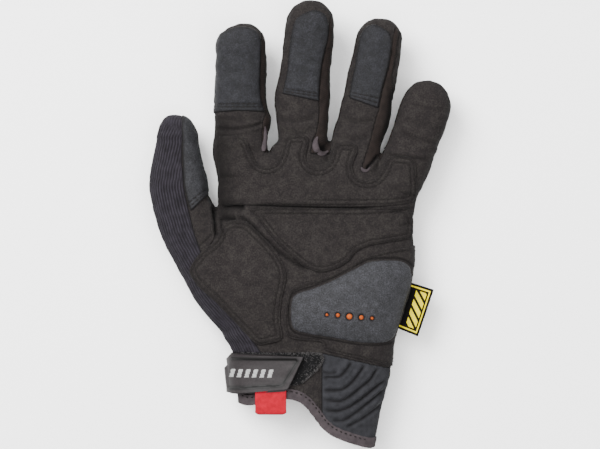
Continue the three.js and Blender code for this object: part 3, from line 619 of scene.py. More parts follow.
def fold_marks(plan):
    """How far the folds and mounds push points of the palm side, in mm, and how dark the folds'
    painted shade is.
    """
    push, shade = np.zeros(len(plan)), np.zeros(len(plan))
    for depth, width, ridge, darkness, line in FOLDS:
        gap, along = line_distance(plan, smooth_line(spots(line), 5))
        ends = fade(np.minimum(along, 1 - along), 0.0, 0.12)
        valley = np.exp(-(gap / width) ** 2)
        sides = np.exp(-((gap - 2.2 * width) / width) ** 2)
        push += depth * ends * (ridge * sides - valley)
        shade = np.maximum(shade, darkness * ends * np.exp(-(gap / (0.75 * width)) ** 2))
    for height, wide, long, middle in MOUNDS:
        x, y = spot(*middle)
        push += height * np.exp(-((plan[:, 0] - x) / wide) ** 2 - ((plan[:, 1] - y) / long) ** 2)
    return push, shade


def write_shade(mesh, values):
    """Stores how dark each point is painted, as shade, for the materials."""
    layer = mesh.attributes.new("shade", "FLOAT", "POINT")
    layer.data.foreach_set("value", np.clip(values, 0.0, 1.0).astype(np.float32))


def unevenness(points, size, amount, seed):
    """Gentle lumps and hollows, as in any filled cloth."""
    shift = Vector((seed * 17.3, seed * 5.1, 0.0))
    return np.array([noise.fractal((Vector(point) / size) + shift, 0.6, 2.0, 3)
                     for point in points]) * amount


LUMPS = [(14.0, 0.55, 1), (5.0, 0.2, 2)]  # size and height in mm, and a seed
SIDE_SEAM = 0.7  # mm that the seam of palm and back draws the cloth in
LOWEST = 0.2  # mm between the cloth and the floor


def fold_skin(mesh):
    """Pushes the folds, the lumps and the side seam into the skin, and paints shade into the
    folds and along the sides.
    """
    co, no = read_points(mesh), read_points(mesh, "normal")
    plan = co[:, :2]
    palm_side = fade(no[:, 2], 0.05, 0.45)
    push, shade = fold_marks(plan)
    push *= palm_side
    for lump in LUMPS:
        push += unevenness(co, *lump)
    # palm and back are sewn together at the sides, which draws the cloth in
    mid_gap = np.abs(co[:, 2] - mid_height(co[:, 1]))
    push -= SIDE_SEAM * np.exp(-(mid_gap / 1.2) ** 2)
    # painted shade: in the folds on the palm side, and along the sides, where the cloth turns
    # down away from the light
    shade = np.maximum(shade * palm_side, 0.85 * np.exp(-(mid_gap / 3.2) ** 2))
    co += no * push[:, None]
    co[:, 2] = np.maximum(co[:, 2], LOWEST)
    write_shade(mesh, shade)
    move_points(mesh, co)


fold_skin(skin)
print("folds:", len(FOLDS))

# %% [markdown]
# ## From skin to panels
#
# A panel is the skin between its seams. `bisect_plane` cuts only along flat planes, so for a
# curved seam we slide the points until the seam is straight, cut, and slide them back. Then
# Solidify gives the cloth its thickness, inwards.

# %% Seam lines
def shares(points):
    """Shares of the palm's width and the glove's length as points in plan."""
    return [(x * PALM_WIDTH, y * GLOVE_LENGTH) for x, y in points]


HEM_LINE = smooth_line(shares([
    (-0.36, -0.366), (-0.335, -0.379), (-0.305, -0.392), (-0.27, -0.3985), (-0.23, -0.398),
    (-0.19, -0.392), (-0.14, -0.388), (-0.09, -0.385), (-0.04, -0.385), (0.015, -0.395),
    (0.065, -0.42), (0.11, -0.447), (0.166, -0.467), (0.25, -0.482), (0.33, -0.493),
    (0.358, -0.4935), (0.378, -0.488), (0.395, -0.476)]), 5)
HEM_STRAIGHT = HEM_LINE[:-10]  # without the rounded corner at its end
CUFF_LINE = shares([(-0.9, -0.286), (0.11, -0.286), (0.48, -0.324), (0.9, -0.365)])
CUFF_SEAM_X = 0.11 * PALM_WIDTH
THUMB_SEAM = shares([
    (-0.1, -0.4), (-0.19, -0.286), (-0.33, -0.19), (-0.48, -0.075), (-0.52, -0.025),
    (-0.55, 0.027), (-0.575, 0.08), (-0.585, 0.14), (-0.585, 0.9)])
THUMB_ROOT = shares([
    (-0.75, -0.9), (-0.7, -0.13), (-0.47, -0.07), (-0.42, -0.03), (-0.425, 0.035),
    (-0.44, 0.047), (-0.447, 0.9)])


def beside(line, distance):
    """A seam that runs to the right, moved up by a distance across its direction."""
    points = np.array(line)
    ahead = np.gradient(points, axis=0)
    ahead /= np.hypot(*ahead.T)[:, None]
    moved = points + np.column_stack([-ahead[:, 1], ahead[:, 0]]) * distance
    keep = [tuple(moved[0])]
    for x, y in moved[1:]:
        if x > keep[-1][0] + 0.02:
            keep.append((x, y))
    return keep


def seam_x(line):
    """x of a seam as a function of a point."""
    xs, ys = zip(*line)
    return lambda co: float(np.interp(co.y, ys, xs))


def seam_y(line):
    """y of a seam as a function of a point."""
    xs, ys = zip(*line)
    return lambda co: float(np.interp(co.x, xs, ys))


ON_CUT = 1e-4  # mm: points this near to a cut lie on it


def score(bm, axis, seam, keep=0, faces=None):
    """Cuts along a seam. keep=1 drops what is below it on the axis, keep=-1 what is above."""
    faces = list(faces or bm.faces)
    edges = {edge for face in faces for edge in face.edges}
    verts = {vert for face in faces for vert in face.verts}
    for vert in bm.verts:
        vert.co[axis] -= seam(vert.co)
    plane = Vector((0, 0, 0))
    plane[axis] = 1.0
    bmesh.ops.bisect_plane(bm, geom=list(verts) + list(edges) + faces, dist=ON_CUT,
                           plane_co=(0, 0, 0), plane_no=plane,
                           clear_inner=keep > 0, clear_outer=keep < 0)
    for vert in bm.verts:
        back = vert.co.copy()
        back[axis] = 0.0
        vert.co[axis] += seam(back)


# half height of the strips between the fingers, on each finger's two sides
STRIP = {"index": (0, 4.5), "middle": (4.5, 4.5), "ring": (4.5, 4.5), "little": (4.5, 0)}
# the strips show from above on the little finger's side of three fingers: their upper edge in
# pixels, from the root of the finger to its tip
STRIP_EDGES = {
    "index": [(264.5, 152), (262.5, 140), (262.5, 129.6), (264, 120), (266, 112.9),
              (261.7, 101.4), (260.3, 86.1), (261.2, 57.4), (261.5, 41.1), (263, 33), (268, 22)],
    "middle": [(311, 154), (312.9, 141.6), (316.2, 133.9), (318.6, 119.6), (319.3, 102.4),
               (319.8, 86.1), (322, 67), (324.8, 53.6), (327.9, 41.1), (328.9, 28.7), (332, 10)],
    "ring": [(361, 172), (362, 166), (367, 151), (370.5, 140), (373.2, 127.7), (375.9, 117.9),
             (378.6, 109.4), (382.3, 89.3), (386.8, 73.2), (390, 58), (391.6, 46.4),
             (393.5, 34), (399, 20)],
}
# below the parting of the ring and little fingers the strip ends at the dark gap between them
PARTING = [(360.5, 173), (371, 164), (378, 156), (384, 148), (392, 121), (392, 20)]
STRIPS_FROM = 20.0  # the y below which there is no strip, in mm
STRIP_TAPER = 16.0  # mm before a fingertip over which the strip narrows to nothing


def nearest_finger(co):
    """The finger nearest to a point, and how far along it and aside of it the point is."""
    best = None
    for name, (root_x, root_y, lean, *_) in FINGERS.items():
        turn = math.radians(lean)
        dx, dy = co.x - root_x * PALM_WIDTH, co.y - root_y * GLOVE_LENGTH
        aside = dx * math.cos(turn) - dy * math.sin(turn)
        if best is None or abs(aside) < abs(best[2]):
            best = (name, dx * math.sin(turn) + dy * math.cos(turn), aside)
    return best


def strip_height(co):
    """Half height of the strip between two fingers at a point: 0 away from the fingers."""
    if co.y < STRIPS_FROM:
        return 0.0
    name, along, aside = nearest_finger(co)
    height = STRIP[name][0 if aside < 0 else 1]
    tip = min(1.0, max(0.0, (FINGERS[name][3] - along) / STRIP_TAPER))
    return height * float(fade(abs(aside), 0.5, 5.5)) * tip


def top_seam(co):
    return float(mid_height(co.y)) + strip_height(co)


def bottom_seam(co):
    return float(mid_height(co.y)) - strip_height(co)


# %% Finish a piece
SLOTS = {part["node"]: part["material_slot"] for part in frame["record"]["subparts"]}


def finish_piece(mesh, name, material, thickness=0.0):
    """Turns a mesh in millimetres into a piece that rides on the glove. It replaces the node
    of the same name, if the solid model has one."""
    nodes = [name] if name in SLOTS else []
    for polygon in mesh.polygons:
        polygon.use_smooth = True
    if thickness:
        mesh = thickened(mesh, thickness)
    mesh.transform(Matrix.Scale(MM, 4))
    mesh.name = name
    mesh.materials.clear()
    mesh.materials.append(material)
    piece = add_object(name, mesh)
    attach(piece, "root")
    if nodes:
        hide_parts(*nodes)
    print(f"{name}: {len(mesh.polygons)} faces")


def mesh_from(bm, name):
    """Ends work on a bmesh and gives its mesh."""
    mesh = bpy.data.meshes.new(name)
    bm.to_mesh(mesh)
    bm.free()
    return mesh


# %% Score the skin with every seam, and sort its faces
hem, cuff = seam_y(HEM_LINE), seam_y(CUFF_LINE)
thumb_seam, thumb_root = seam_x(THUMB_SEAM), seam_x(THUMB_ROOT)
strip_edges = {name: seam_x(smooth_line(spots(line), 4)) for name, line in STRIP_EDGES.items()}
parting = seam_x(spots(PARTING))
finger_middles = {name: seam_x([on_finger(name, -40, 0), on_finger(name, 130, 0)])
                  for name in FINGERS}
GAPS = [("index", "middle"), ("middle", "ring"), ("ring", "little")]


def panel_at(co):
    """The panel that a point of the skin belongs to."""
    if co.y < hem(co):
        return None
    if co.y < cuff(co):
        if co.z < mid_height(co.y):
            return "cuff_back_panel"
        return "cuff_front_panel" if co.x < CUFF_SEAM_X else "cuff_ribbed_panel"
    if co.x < thumb_seam(co):
        return None
    if co.x < thumb_root(co):
        return "thumb_front_panel"
    name, _, aside = nearest_finger(co)
    in_strip = strip_height(co) > 0.05 and bottom_seam(co) < co.z < top_seam(co)
    if name in STRIP_EDGES and co.z > bottom_seam(co) and aside > 0:
        root_x, root_y = spot(*STRIP_EDGES[name][0])
        in_strip = co.y > root_y and co.x > strip_edges[name](co)
        if name == "ring":
            in_strip = in_strip and co.x < max(parting(co), strip_edges[name](co) + 3.0)
    if in_strip:
        for left, right in GAPS:
            if finger_middles[left](co) < co.x < finger_middles[right](co):
                return f"fourchette_{left}_{right}"
    return "palm_panel" if co.z > top_seam(co) else "back_panel"


def faces_where(bm, wanted):
    """The faces whose middle is wanted."""
    return [face for face in bm.faces if wanted(face.calc_center_median())]


def sort_skin():
    """The skin cut along every seam, and the numbers of its faces for each panel."""
    bm = bmesh.new()
    bm.from_mesh(skin)
    for axis, seam in ((1, hem), (1, cuff), (0, thumb_seam), (0, thumb_root),
                       (2, top_seam), (2, bottom_seam), (0, lambda co: CUFF_SEAM_X)):
        score(bm, axis, seam)
    for name, seam in strip_edges.items():
        score(bm, 0, seam, faces=faces_where(bm, lambda co: (
            co.z > MID_HEIGHT and co.y > 30 and nearest_finger(co)[0] == name)))
        if name == "ring":
            score(bm, 0, parting, faces=faces_where(bm, lambda co: (
                co.z > MID_HEIGHT and 20 < co.y < 60 and 25 < co.x < 60)))
    sorted_faces = {}
    for face in bm.faces:
        sorted_faces.setdefault(panel_at(face.calc_center_median()), []).append(face.index)
    return bm, sorted_faces


SEAM_DEPTH = 0.35  # mm that a panel's edge is drawn in
# how dark the painted shade is along a panel's seam
SEAM_SHADE = 0.85


def make_panels():
    """Cuts a piece for each panel, with its edges drawn in and darkened with painted shade."""
    bm, sorted_faces = sort_skin()
    bm.faces.ensure_lookup_table()
    for name, (material, thickness) in PANELS.items():
        part = bm.copy()
        part.faces.ensure_lookup_table()
        keep = set(sorted_faces[name])
        extra = [face for face in part.faces if face.index not in keep]
        bmesh.ops.delete(part, geom=extra, context="FACES")
        shade = part.verts.layers.float["shade"]
        for vert in part.verts:
            if vert.is_boundary:
                vert.co -= vert.normal * SEAM_DEPTH
                vert[shade] = SEAM_SHADE
        finish_piece(mesh_from(part, name), name, material, thickness)
    bm.free()


PANELS = {
    "palm_panel": (SUEDE, 1.0), "back_panel": (STRETCH, 1.0), "thumb_front_panel": (SUEDE, 1.0),
    "cuff_front_panel": (SUEDE, 1.2), "cuff_ribbed_panel": (FOAM_CLOTH, 1.4),
    "cuff_back_panel": (STRETCH, 1.2), "fourchette_index_middle": (STRETCH, 1.0),
    "fourchette_middle_ring": (STRETCH, 1.0), "fourchette_ring_little": (STRETCH, 1.0),
}
make_panels()

# %% [markdown]
# ## What is sewn on top
#
# An overlay is flat leather laid over the hand. So it starts as a flat outline, is cut into a
# fine grid, and each point drops onto the skin below. Its edge is rounded, and rows of
# stitches pull it in. We could also sculpt it, but draping keeps the outline exactly where
# the photograph shows it.

# %% Outlines with corners
def outline_of(*runs):
    """A closed outline from runs of points in pixels. Each run is smooth, and where the next
    one starts there is a corner."""
    outline = []
    for run, following in zip(runs, runs[1:] + runs[:1]):
        outline += smooth_line(spots(run + following[:1]), 5)[:-1]
    return outline


def looped(outline):
    """An outline as a line that ends where it starts."""
    return list(outline) + [outline[0]]


# %% Drape a sheet over the skin
FAR_OFF = 200.0  # mm over or under the floor, well outside the glove


class Surface:
    """Says where a mesh is, seen from above (side 1) or from below (side -1)."""

    def __init__(self, mesh, wanted=None):
        self.bm = bmesh.new()
        self.bm.from_mesh(mesh)
        if wanted:
            extra = faces_where(self.bm, lambda co: not wanted(co))
            bmesh.ops.delete(self.bm, geom=extra, context="FACES")
        self.bm.faces.ensure_lookup_table()
        self.tree = BVHTree.FromBMesh(self.bm)

    def smooth_normal(self, point, index):
        corners = self.bm.faces[index].verts
        weights = [1 / ((vert.co - point).length + 1e-3) for vert in corners]
        return sum((vert.normal * w for vert, w in zip(corners, weights)), Vector()).normalized()

    def at(self, x, y, side=1):
        """The point and the normal over or under (x, y), or the nearest beside the hand."""
        start = Vector((x, y, FAR_OFF * side))
        point, _, index, _ = self.tree.ray_cast(start, Vector((0, 0, -side)))
        if point is None:
            # beside the hand the sheet turns down: the further out, the lower
            middle = float(mid_height(y))
            edge, *_ = self.tree.find_nearest(Vector((x, y, middle + 3.0 * side)))
            out = math.hypot(x - edge.x, y - edge.y)
            start = Vector((edge.x, edge.y, middle + (3.0 - 2.0 * out) * side))
            start += Vector((x - edge.x, y - edge.y, 0)).normalized() * 2.0
            point, _, index, _ = self.tree.find_nearest(start)
        return point, self.smooth_normal(point, index)

    def along_ray(self, start, direction):
        """Where a ray from inside leaves the mesh."""
        point, _, index, _ = self.tree.ray_cast(start, direction)
        return (None, None) if point is None else (point, self.smooth_normal(point, index))


skin_surface = Surface(skin)
thumb_surface = Surface(skin, lambda co: co.x < thumb_root(co))


EDGE_LOOPS = (0.06, 0.2, 0.34)  # mm from each loop of points along an edge to the next


def flat_sheet(outline, step):
    """A flat face with an outline, loops close inside its edge, and a grid across it."""
    bm = bmesh.new()
    made = bmesh.ops.create_circle(bm, cap_ends=True, segments=len(outline), radius=1.0)["verts"]
    for vert, (x, y) in zip(made, outline):
        vert.co = (x, y, 0.0)
    bm.normal_update()
    inner = bm.faces[:]
    if inner[0].normal.z < 0:
        bmesh.ops.reverse_faces(bm, faces=inner)
    for inset in EDGE_LOOPS:
        bmesh.ops.inset_region(bm, faces=inner, thickness=inset, use_even_offset=True)
    xs, ys = zip(*outline)
    for axis, values in ((0, xs), (1, ys)):
        normal = Vector((1 - axis, axis, 0))
        for value in np.arange(min(values) + step / 2, max(values), step):
            bmesh.ops.bisect_plane(bm, geom=bm.verts[:] + bm.edges[:] + bm.faces[:],
                                   plane_co=normal * value, plane_no=normal, dist=ON_CUT)
    return bm


STITCH_PITCH = 3.0  # mm from one stitch to the next
STITCH_GROOVE, STITCH_PUCKER = 0.3, 0.09  # depth and height in mm


def sewn(plan, row):
    """How a row of stitches draws cloth in: a groove with small puckers beside it."""
    gap, along = line_distance(plan, row)
    length = sum(math.dist(a, b) for a, b in zip(row, row[1:]))
    pucker = np.cos(along * length / STITCH_PITCH * 2 * math.pi) * np.exp(-gap ** 2)
    return STITCH_PUCKER * pucker - STITCH_GROOVE * np.exp(-(gap / 0.55) ** 2)


def inset_line(outline, distance, start=0.0, end=1.0):
    """A line inside a closed outline at a distance, from one share of its length to another."""
    points = np.array(outline)
    following = np.roll(points, -1, axis=0)
    ahead = following - np.roll(points, 1, axis=0)
    ahead /= np.hypot(*ahead.T)[:, None]
    area = np.sum(points[:, 0] * following[:, 1] - points[:, 1] * following[:, 0])
    inward = np.column_stack([-ahead[:, 1], ahead[:, 0]]) * (1 if area > 0 else -1)
    moved = points + inward * distance
    gap, _ = line_distance(moved, looped(outline))
    place = np.arange(len(points)) / len(points)
    wanted = (place >= start) & (place <= end)
    keep = [tuple(p) for p, g, w in zip(moved, gap, wanted) if g > distance * 0.93 and w]
    if (start, end) == (0.0, 1.0):
        keep.append(keep[0])
    return keep


def drape(outline, thickness, edge=0.6, rows=(), step=0.6, side=1, extra=None, surface=None,
          edge_shade=0.6, edge_width=0.45, channels=()):
    """A sheet laid on the palm side (side 1) or on the back (side -1), as a mesh."""
    surface = surface or skin_surface
    bm = flat_sheet(outline, step)
    plan = np.array([vert.co[:2] for vert in bm.verts])
    rim, _ = line_distance(plan, looped(outline))
    height = thickness * np.sqrt(1 - (1 - np.minimum(rim / edge, 1)) ** 2)
    # painted shade along the rim, where the sheet meets what is under it, and in the folds under
    # it
    shade = edge_shade * np.exp(-(rim / edge_width) ** 2)
    if side > 0:
        shade = np.maximum(shade, fold_marks(plan)[1])
    # painted shade along each row of stitches and in each channel
    for row in rows:
        height += sewn(plan, row) * fade(rim, 0.0, 0.5)
        shade = np.maximum(shade, 0.5 * np.exp(-(line_distance(plan, row)[0] / 0.5) ** 2))
    for channel in channels:
        near = np.exp(-(line_distance(plan, channel)[0] / 0.5) ** 2)
        height -= 0.5 * near
        shade = np.maximum(shade, 0.9 * near)
    if extra is not None:
        height += extra(plan, rim)
    height[rim < 0.02] = -0.5
    for vert, lift in zip(bm.verts, height):
        point, normal = surface.at(vert.co.x, vert.co.y, side)
        vert.co = point + normal * float(lift)
        vert.co.z = max(vert.co.z, 0.0)
    if side < 0:
        bmesh.ops.reverse_faces(bm, faces=bm.faces)
    mesh = mesh_from(bm, "sheet")
    write_shade(mesh, shade)
    return mesh


# %% Stitches
def stitches(name, surface, rows, pitch=STITCH_PITCH, length=2.1, thick=0.26):
    """A thread along rows: one small bead of thread for each stitch."""
    bm = bmesh.new()
    for row in rows:
        line = [Vector(point) for point in row]
        gaps = [(b - a).length for a, b in zip(line, line[1:])]
        total, marks = sum(gaps), np.concatenate([[0], np.cumsum(gaps)])
        xs, ys = zip(*line)
        for i in range(int(total / pitch)):
            ends = []
            for place in (i * pitch + 0.4, i * pitch + 0.4 + length):
                x, y = np.interp(place, marks, xs), np.interp(place, marks, ys)
                ends.append(surface.at(x, y))
            (start, up), (end, _) = ends
            ahead = (end - start).normalized()
            across = up.cross(ahead).normalized()
            if (end - start).length > 1.6 * length:
                continue
            turn = Matrix((ahead, across, ahead.cross(across))).transposed().to_4x4()
            lying = Matrix.Rotation(math.pi / 2, 4, "Y")
            size = Matrix.Diagonal((thick, thick, length / 2 + 0.15, 1))
            place = Matrix.Translation((start + end) / 2 + up * 0.05)
            bmesh.ops.create_uvsphere(bm, u_segments=6, v_segments=4, radius=1.0,
                                      matrix=place @ turn @ lying @ size)
    finish_piece(mesh_from(bm, name), name, THREAD)


# %% [markdown]
# ### The overlays of the palm

# %% Outlines of the overlays
UPPER_PALM = shares([
    (-0.398, 0.045), (-0.4, 0.12), (-0.4, 0.188), (-0.385, 0.195), (-0.3, 0.195),
    (-0.262, 0.185), (-0.235, 0.156), (-0.205, 0.134), (-0.163, 0.127), (-0.118, 0.135),
    (-0.092, 0.157), (-0.075, 0.186), (-0.045, 0.196), (0.025, 0.196), (0.047, 0.182),
    (0.032, 0.15), (0.048, 0.131), (0.09, 0.124), (0.132, 0.129), (0.163, 0.148),
    (0.178, 0.172), (0.21, 0.18), (0.27, 0.178), (0.293, 0.165), (0.266, 0.13),
    (0.285, 0.103), (0.35, 0.096), (0.4, 0.112), (0.428, 0.136), (0.455, 0.151),
    (0.54, 0.149), (0.575, 0.138), (0.582, 0.11), (0.573, 0.055), (0.45, 0.04),
    (0.2, 0.038), (-0.05, 0.039), (-0.3, 0.042)])
MID_PALM = shares([
    (-0.24, 0.035), (0, 0.0365), (0.25, 0.0355), (0.5, 0.038), (0.557, 0.023), (0.563, -0.01),
    (0.555, -0.03), (0.5, -0.037), (0.35, -0.049), (0.28, -0.064), (0.24, -0.085),
    (0.17, -0.102), (0.1, -0.107), (0.045, -0.1), (-0.04, -0.073), (-0.115, -0.042),
    (-0.175, -0.009), (-0.225, 0.02)])
THENAR = shares([
    (-0.38, -0.002), (-0.32, 0.008), (-0.26, 0.003), (-0.21, -0.016), (-0.15, -0.043),
    (-0.1, -0.07), (-0.07, -0.098), (-0.065, -0.125), (-0.085, -0.165), (-0.094, -0.21),
    (-0.083, -0.252), (-0.15, -0.264), (-0.215, -0.265), (-0.31, -0.223), (-0.42, -0.172),
    (-0.5, -0.14), (-0.545, -0.11), (-0.535, -0.088), (-0.485, -0.06), (-0.42, -0.036)])
HEEL = shares([
    (-0.065, -0.165), (-0.03, -0.138), (0.1, -0.12), (0.215, -0.101), (0.3, -0.077),
    (0.42, -0.06), (0.56, -0.05), (0.6, -0.05), (0.61, -0.12), (0.58, -0.2), (0.53, -0.28),
    (0.49, -0.313), (0.46, -0.317), (0.33, -0.303), (0.2, -0.289), (0.125, -0.279),
    (0.105, -0.262), (0, -0.257), (-0.06, -0.248), (-0.078, -0.215)])
PAD = shares([
    (-0.037, -0.17), (-0.008, -0.154), (0.065, -0.143), (0.156, -0.127), (0.25, -0.105),
    (0.3, -0.094), (0.345, -0.084), (0.42, -0.081), (0.5, -0.083), (0.54, -0.093),
    (0.554, -0.112), (0.55, -0.137), (0.52, -0.18), (0.487, -0.23), (0.462, -0.252),
    (0.41, -0.262), (0.3, -0.261), (0.17, -0.251), (0.04, -0.241), (-0.02, -0.233),
    (-0.04, -0.214)])


def sew_on(name, material, outline, rows, thickness=1.0, **more):
    """An overlay with its rows of stitches."""
    mesh = drape(outline, thickness, rows=rows, **more)
    surface = Surface(mesh)
    finish_piece(mesh, name, material, 0.7)
    stitches(f"{name}_stitches", surface, rows)


# edge_shade sets the painted shade along each overlay's rim
upper = smooth_line(UPPER_PALM, 5, closed=True)
upper_rows = [inset_line(upper, 1.5, 0.1, 0.96), inset_line(upper, 3.8, 0.12, 0.94)]
sew_on("upper_palm_overlay", SUEDE, upper, upper_rows, edge_shade=0.45)
middle = smooth_line(MID_PALM, 6, closed=True)
sew_on("mid_palm_overlay", SUEDE, middle, [inset_line(middle, 1.2), inset_line(middle, 3.2)])
thenar = smooth_line(THENAR, 6, closed=True)
sew_on("thenar_overlay", SUEDE, thenar, [inset_line(thenar, 1.5), inset_line(thenar, 3.8)],
       edge_shade=0.3)
heel = smooth_line(HEEL, 6, closed=True)
pad = smooth_line(PAD, 6, closed=True)
# the channel round the pad is darkened as painted shade
sew_on("heel_overlay", SUEDE, heel, [inset_line(heel, 1.6)], channels=[inset_line(pad, -1.4)],
       edge_shade=0.3)

# %% [markdown]
# ### The heel pad
#
# The pad is foam under grained leather. We drape the leather, close it to a thin body, pin its
# rim and let cloth simulation fill it with pressure, so that it swells as a filled pad does.

# %% Heel pad
PAD_DOTS = [((0.135, -0.2), 1.8), ((0.189, -0.201), 2.4), ((0.246, -0.204), 3.4),
            ((0.305, -0.206), 2.7), ((0.358, -0.208), 1.9)]
MOST_SWELL = 2.4  # mm that a point of the pad may move
PAD_PRESSURE = 2.5
PAD_FRAMES = 20  # how long the simulation runs
CLOTH_SCALE = 0.1  # the cloth solver is steady when a millimetre is a tenth of its unit


def inflate(mesh, pinned):
    """Fills a closed body of cloth with pressure while the pinned points stay."""
    mesh.transform(Matrix.Scale(CLOTH_SCALE, 4))
    helper = add_object("filled", mesh)
    group = helper.vertex_groups.new(name="pinned")
    group.add([int(i) for i in pinned], 1.0, "REPLACE")
    cloth = helper.modifiers.new("cloth", "CLOTH")
    cloth.settings.quality = 5
    cloth.settings.mass = 0.3
    cloth.settings.use_pressure = True
    cloth.settings.uniform_pressure_force = PAD_PRESSURE
    cloth.settings.vertex_group_mass = "pinned"
    cloth.settings.effector_weights.gravity = 0.0
    for number in range(1, PAD_FRAMES + 1):
        bpy.context.scene.frame_set(number)
    result = evaluated(helper)
    result.transform(Matrix.Scale(1 / CLOTH_SCALE, 4))
    bpy.data.objects.remove(helper)
    bpy.context.scene.frame_set(1)
    return result


def filled_pad():
    """The pad's foam: a thin closed body that pressure has filled, as a surface."""
    sheet = drape(pad, 1.3, 2.5, step=1.2, edge_shade=0)
    body_mesh = thickened(sheet, 1.2)
    before = read_points(body_mesh)
    rim, _ = line_distance(before[:, :2], looped(pad))
    held = np.flatnonzero((rim < 0.8) | (read_points(body_mesh, "normal")[:, 2] < 0))
    moved = read_points(inflate(body_mesh, held)) - before
    far = np.maximum(np.linalg.norm(moved, axis=1), 1e-9)
    print("the pad swells by", round(float(far.max()), 2), "mm")
    moved *= np.minimum(1.0, MOST_SWELL / far)[:, None]
    move_points(body_mesh, before + moved)
    return Surface(body_mesh)


def circle_at(place, across):
    """A circle of 24 points round a place in shares, `across` millimetres wide."""
    x, y = shares([place])[0]
    return [(x + math.cos(turn) * across / 2, y + math.sin(turn) * across / 2)
            for turn in np.linspace(0, 2 * math.pi, 25)[:-1]]


def dot_holes(plan, rim):
    """Round holes in the leather, one for each dot."""
    height = np.zeros(len(plan))
    for place, across in PAD_DOTS:
        x, y = shares([place])[0]
        gap = np.hypot(plan[:, 0] - x, plan[:, 1] - y)
        height -= 0.7 * (1 - fade(gap, across / 2, across / 2 + 0.35))
    return height


# painted shade in a ring round each hole
dot_rings = [looped(circle_at(place, across + 0.4)) for place, across in PAD_DOTS]
pad_mesh = drape(pad, 1.0, 1.2, step=0.5, extra=dot_holes, surface=filled_pad(),
                 channels=dot_rings)
pad_surface = Surface(pad_mesh)
finish_piece(pad_mesh, "heel_pad", PAINTED_LIGHT_PAD_LEATHER, 1.0)

for number, (place, across) in enumerate(PAD_DOTS, 1):
    # edge_shade paints a little shade round each dot's rim
    dot = drape(circle_at(place, across), 0.5, 0.3, step=0.5, surface=pad_surface,
                edge_shade=0.3)
    finish_piece(dot, f"pad_dot_{number}", ORANGE_FOAM, 0.3)

# %% [markdown]
# ### Fingertip and thumb patches

# %% Patches
# each patch: runs of points in pixels between its corners, and its two rows of stitches
PATCHES = {
    "index_tip_patch": (
        [[(210.5, 113.6), (238.3, 112)],
         [(265.6, 112.9), (261.4, 101.4), (260, 86.1), (260.9, 57.4), (260.9, 41.1),
          (256.4, 32.5), (247.8, 28.7), (236.4, 28.7), (227.7, 31.6), (219.6, 36), (213.5, 46),
          (211, 60), (210.5, 86)]],
        [[(214.5, 104.6), (262.5, 104.6)], [(214.5, 107.5), (263.5, 107.5)]]),
    "middle_tip_patch": (
        [[(282.1, 94.5), (301.4, 98.7)],
         [(319, 102.4), (319.3, 86.1), (321.6, 67), (324.4, 53.6), (327.4, 41.1), (328.4, 28.7),
          (325.8, 18), (321.5, 13.9), (313.8, 11.9), (307.1, 13.9), (298.5, 18.2),
          (294.2, 24.9), (290.9, 38.3), (289, 53.6), (287.1, 72.7), (284.2, 86.1)]],
        [[(285.5, 89.5), (318.8, 94.7)], [(285, 92.3), (318.8, 97.4)]]),
    "ring_tip_patch": (
        [[(348.8, 97.6), (351.8, 100), (364.3, 104.5)],
         [(377.7, 109.4), (381.8, 89.3), (386.3, 73.2), (389.4, 58), (390.8, 46.4),
          (389.7, 37.5), (387.5, 33), (382.1, 29.5), (375, 26.3), (368.8, 26.8),
          (363.4, 31.3), (359.8, 37.5), (358, 46.4), (355.4, 62.5), (351.8, 80.4)]],
        [[(352.2, 93.5), (379, 99.2)], [(351.6, 96.5), (378, 103.8)]]),
    "thumb_tip_patch": (
        [[(189.5, 206), (185.6, 190), (183.9, 176.5), (182.8, 146), (182.2, 128)],
         [(182, 114), (190.5, 117), (199.5, 124), (203.5, 138.8), (205.2, 159), (209, 175),
          (212, 188)],
         [(211, 191.6), (200, 203)], [(191.8, 211.6), (190.6, 209)]],
        [[(189.6, 203), (206.5, 188.3)], [(191.6, 205.8), (208, 191)]]),
}
# each patch's rim is painted dark, as shade, over a wider band
for name, (runs, rows) in PATCHES.items():
    on_thumb = name == "thumb_tip_patch"
    sew_on(name, PAINTED_LIGHT_THUMB_LEATHER if on_thumb else GRAINED, outline_of(*runs),
           [spots(row) for row in rows], 0.8, step=0.55,
           surface=thumb_surface if on_thumb else None, edge_shade=1.0, edge_width=1.05)

# %% [markdown]
# ### Tape in the webs
#
# Where two fingers part, the seams of the side strips end under a rolled bit of mauve tape. It
# is a small body through rounded sections, thin at both ends.

# %% Web tapes
# points in pixels, each with the half width of the roll in millimetres
WEB_TAPES = {
    "index_middle": [(265.2, 127, 0.4), (265.4, 133, 1.0), (264.8, 140, 1.3), (263.8, 147, 1.7),
                     (263.6, 151.5, 0.8)],
    "middle_ring": [(317.6, 137, 0.4), (315.6, 142, 1.4), (315.6, 147.5, 1.9),
                    (318.6, 152.6, 1.6), (323, 154, 1.3), (328.5, 151, 0.4)],
    "ring_little": [(360.8, 167.5, 0.4), (362.8, 170.6, 1.0), (366.4, 171, 0.8),
                    (370, 167.5, 0.3)],
}


def web_tape(name, rows):
    """One roll of tape, through its rows of x, y and half width."""
    rows = smooth_line([(*spot(px, py), half) for px, py, half in rows], 6)
    sections = []
    for before, (x, y, half), after in zip(rows[:1] + rows, rows, rows[1:] + rows[-1:]):
        ahead = Vector((after[0] - before[0], after[1] - before[1], 0)).normalized()
        point, _ = skin_surface.at(x, y)
        sections.append((point + Vector((0, 0, 0.2)), Vector((ahead.y, -ahead.x, 0)), half,
                         0.8 * half, 1.2 * half))
    bm = bmesh.new()
    body(bm, sections)
    bmesh.ops.recalc_face_normals(bm, faces=bm.faces)
    finish_piece(mesh_from(bm, name), f"web_tape_{name}", MAUVE_TAPE)


for name, rows in WEB_TAPES.items():
    web_tape(name, rows)

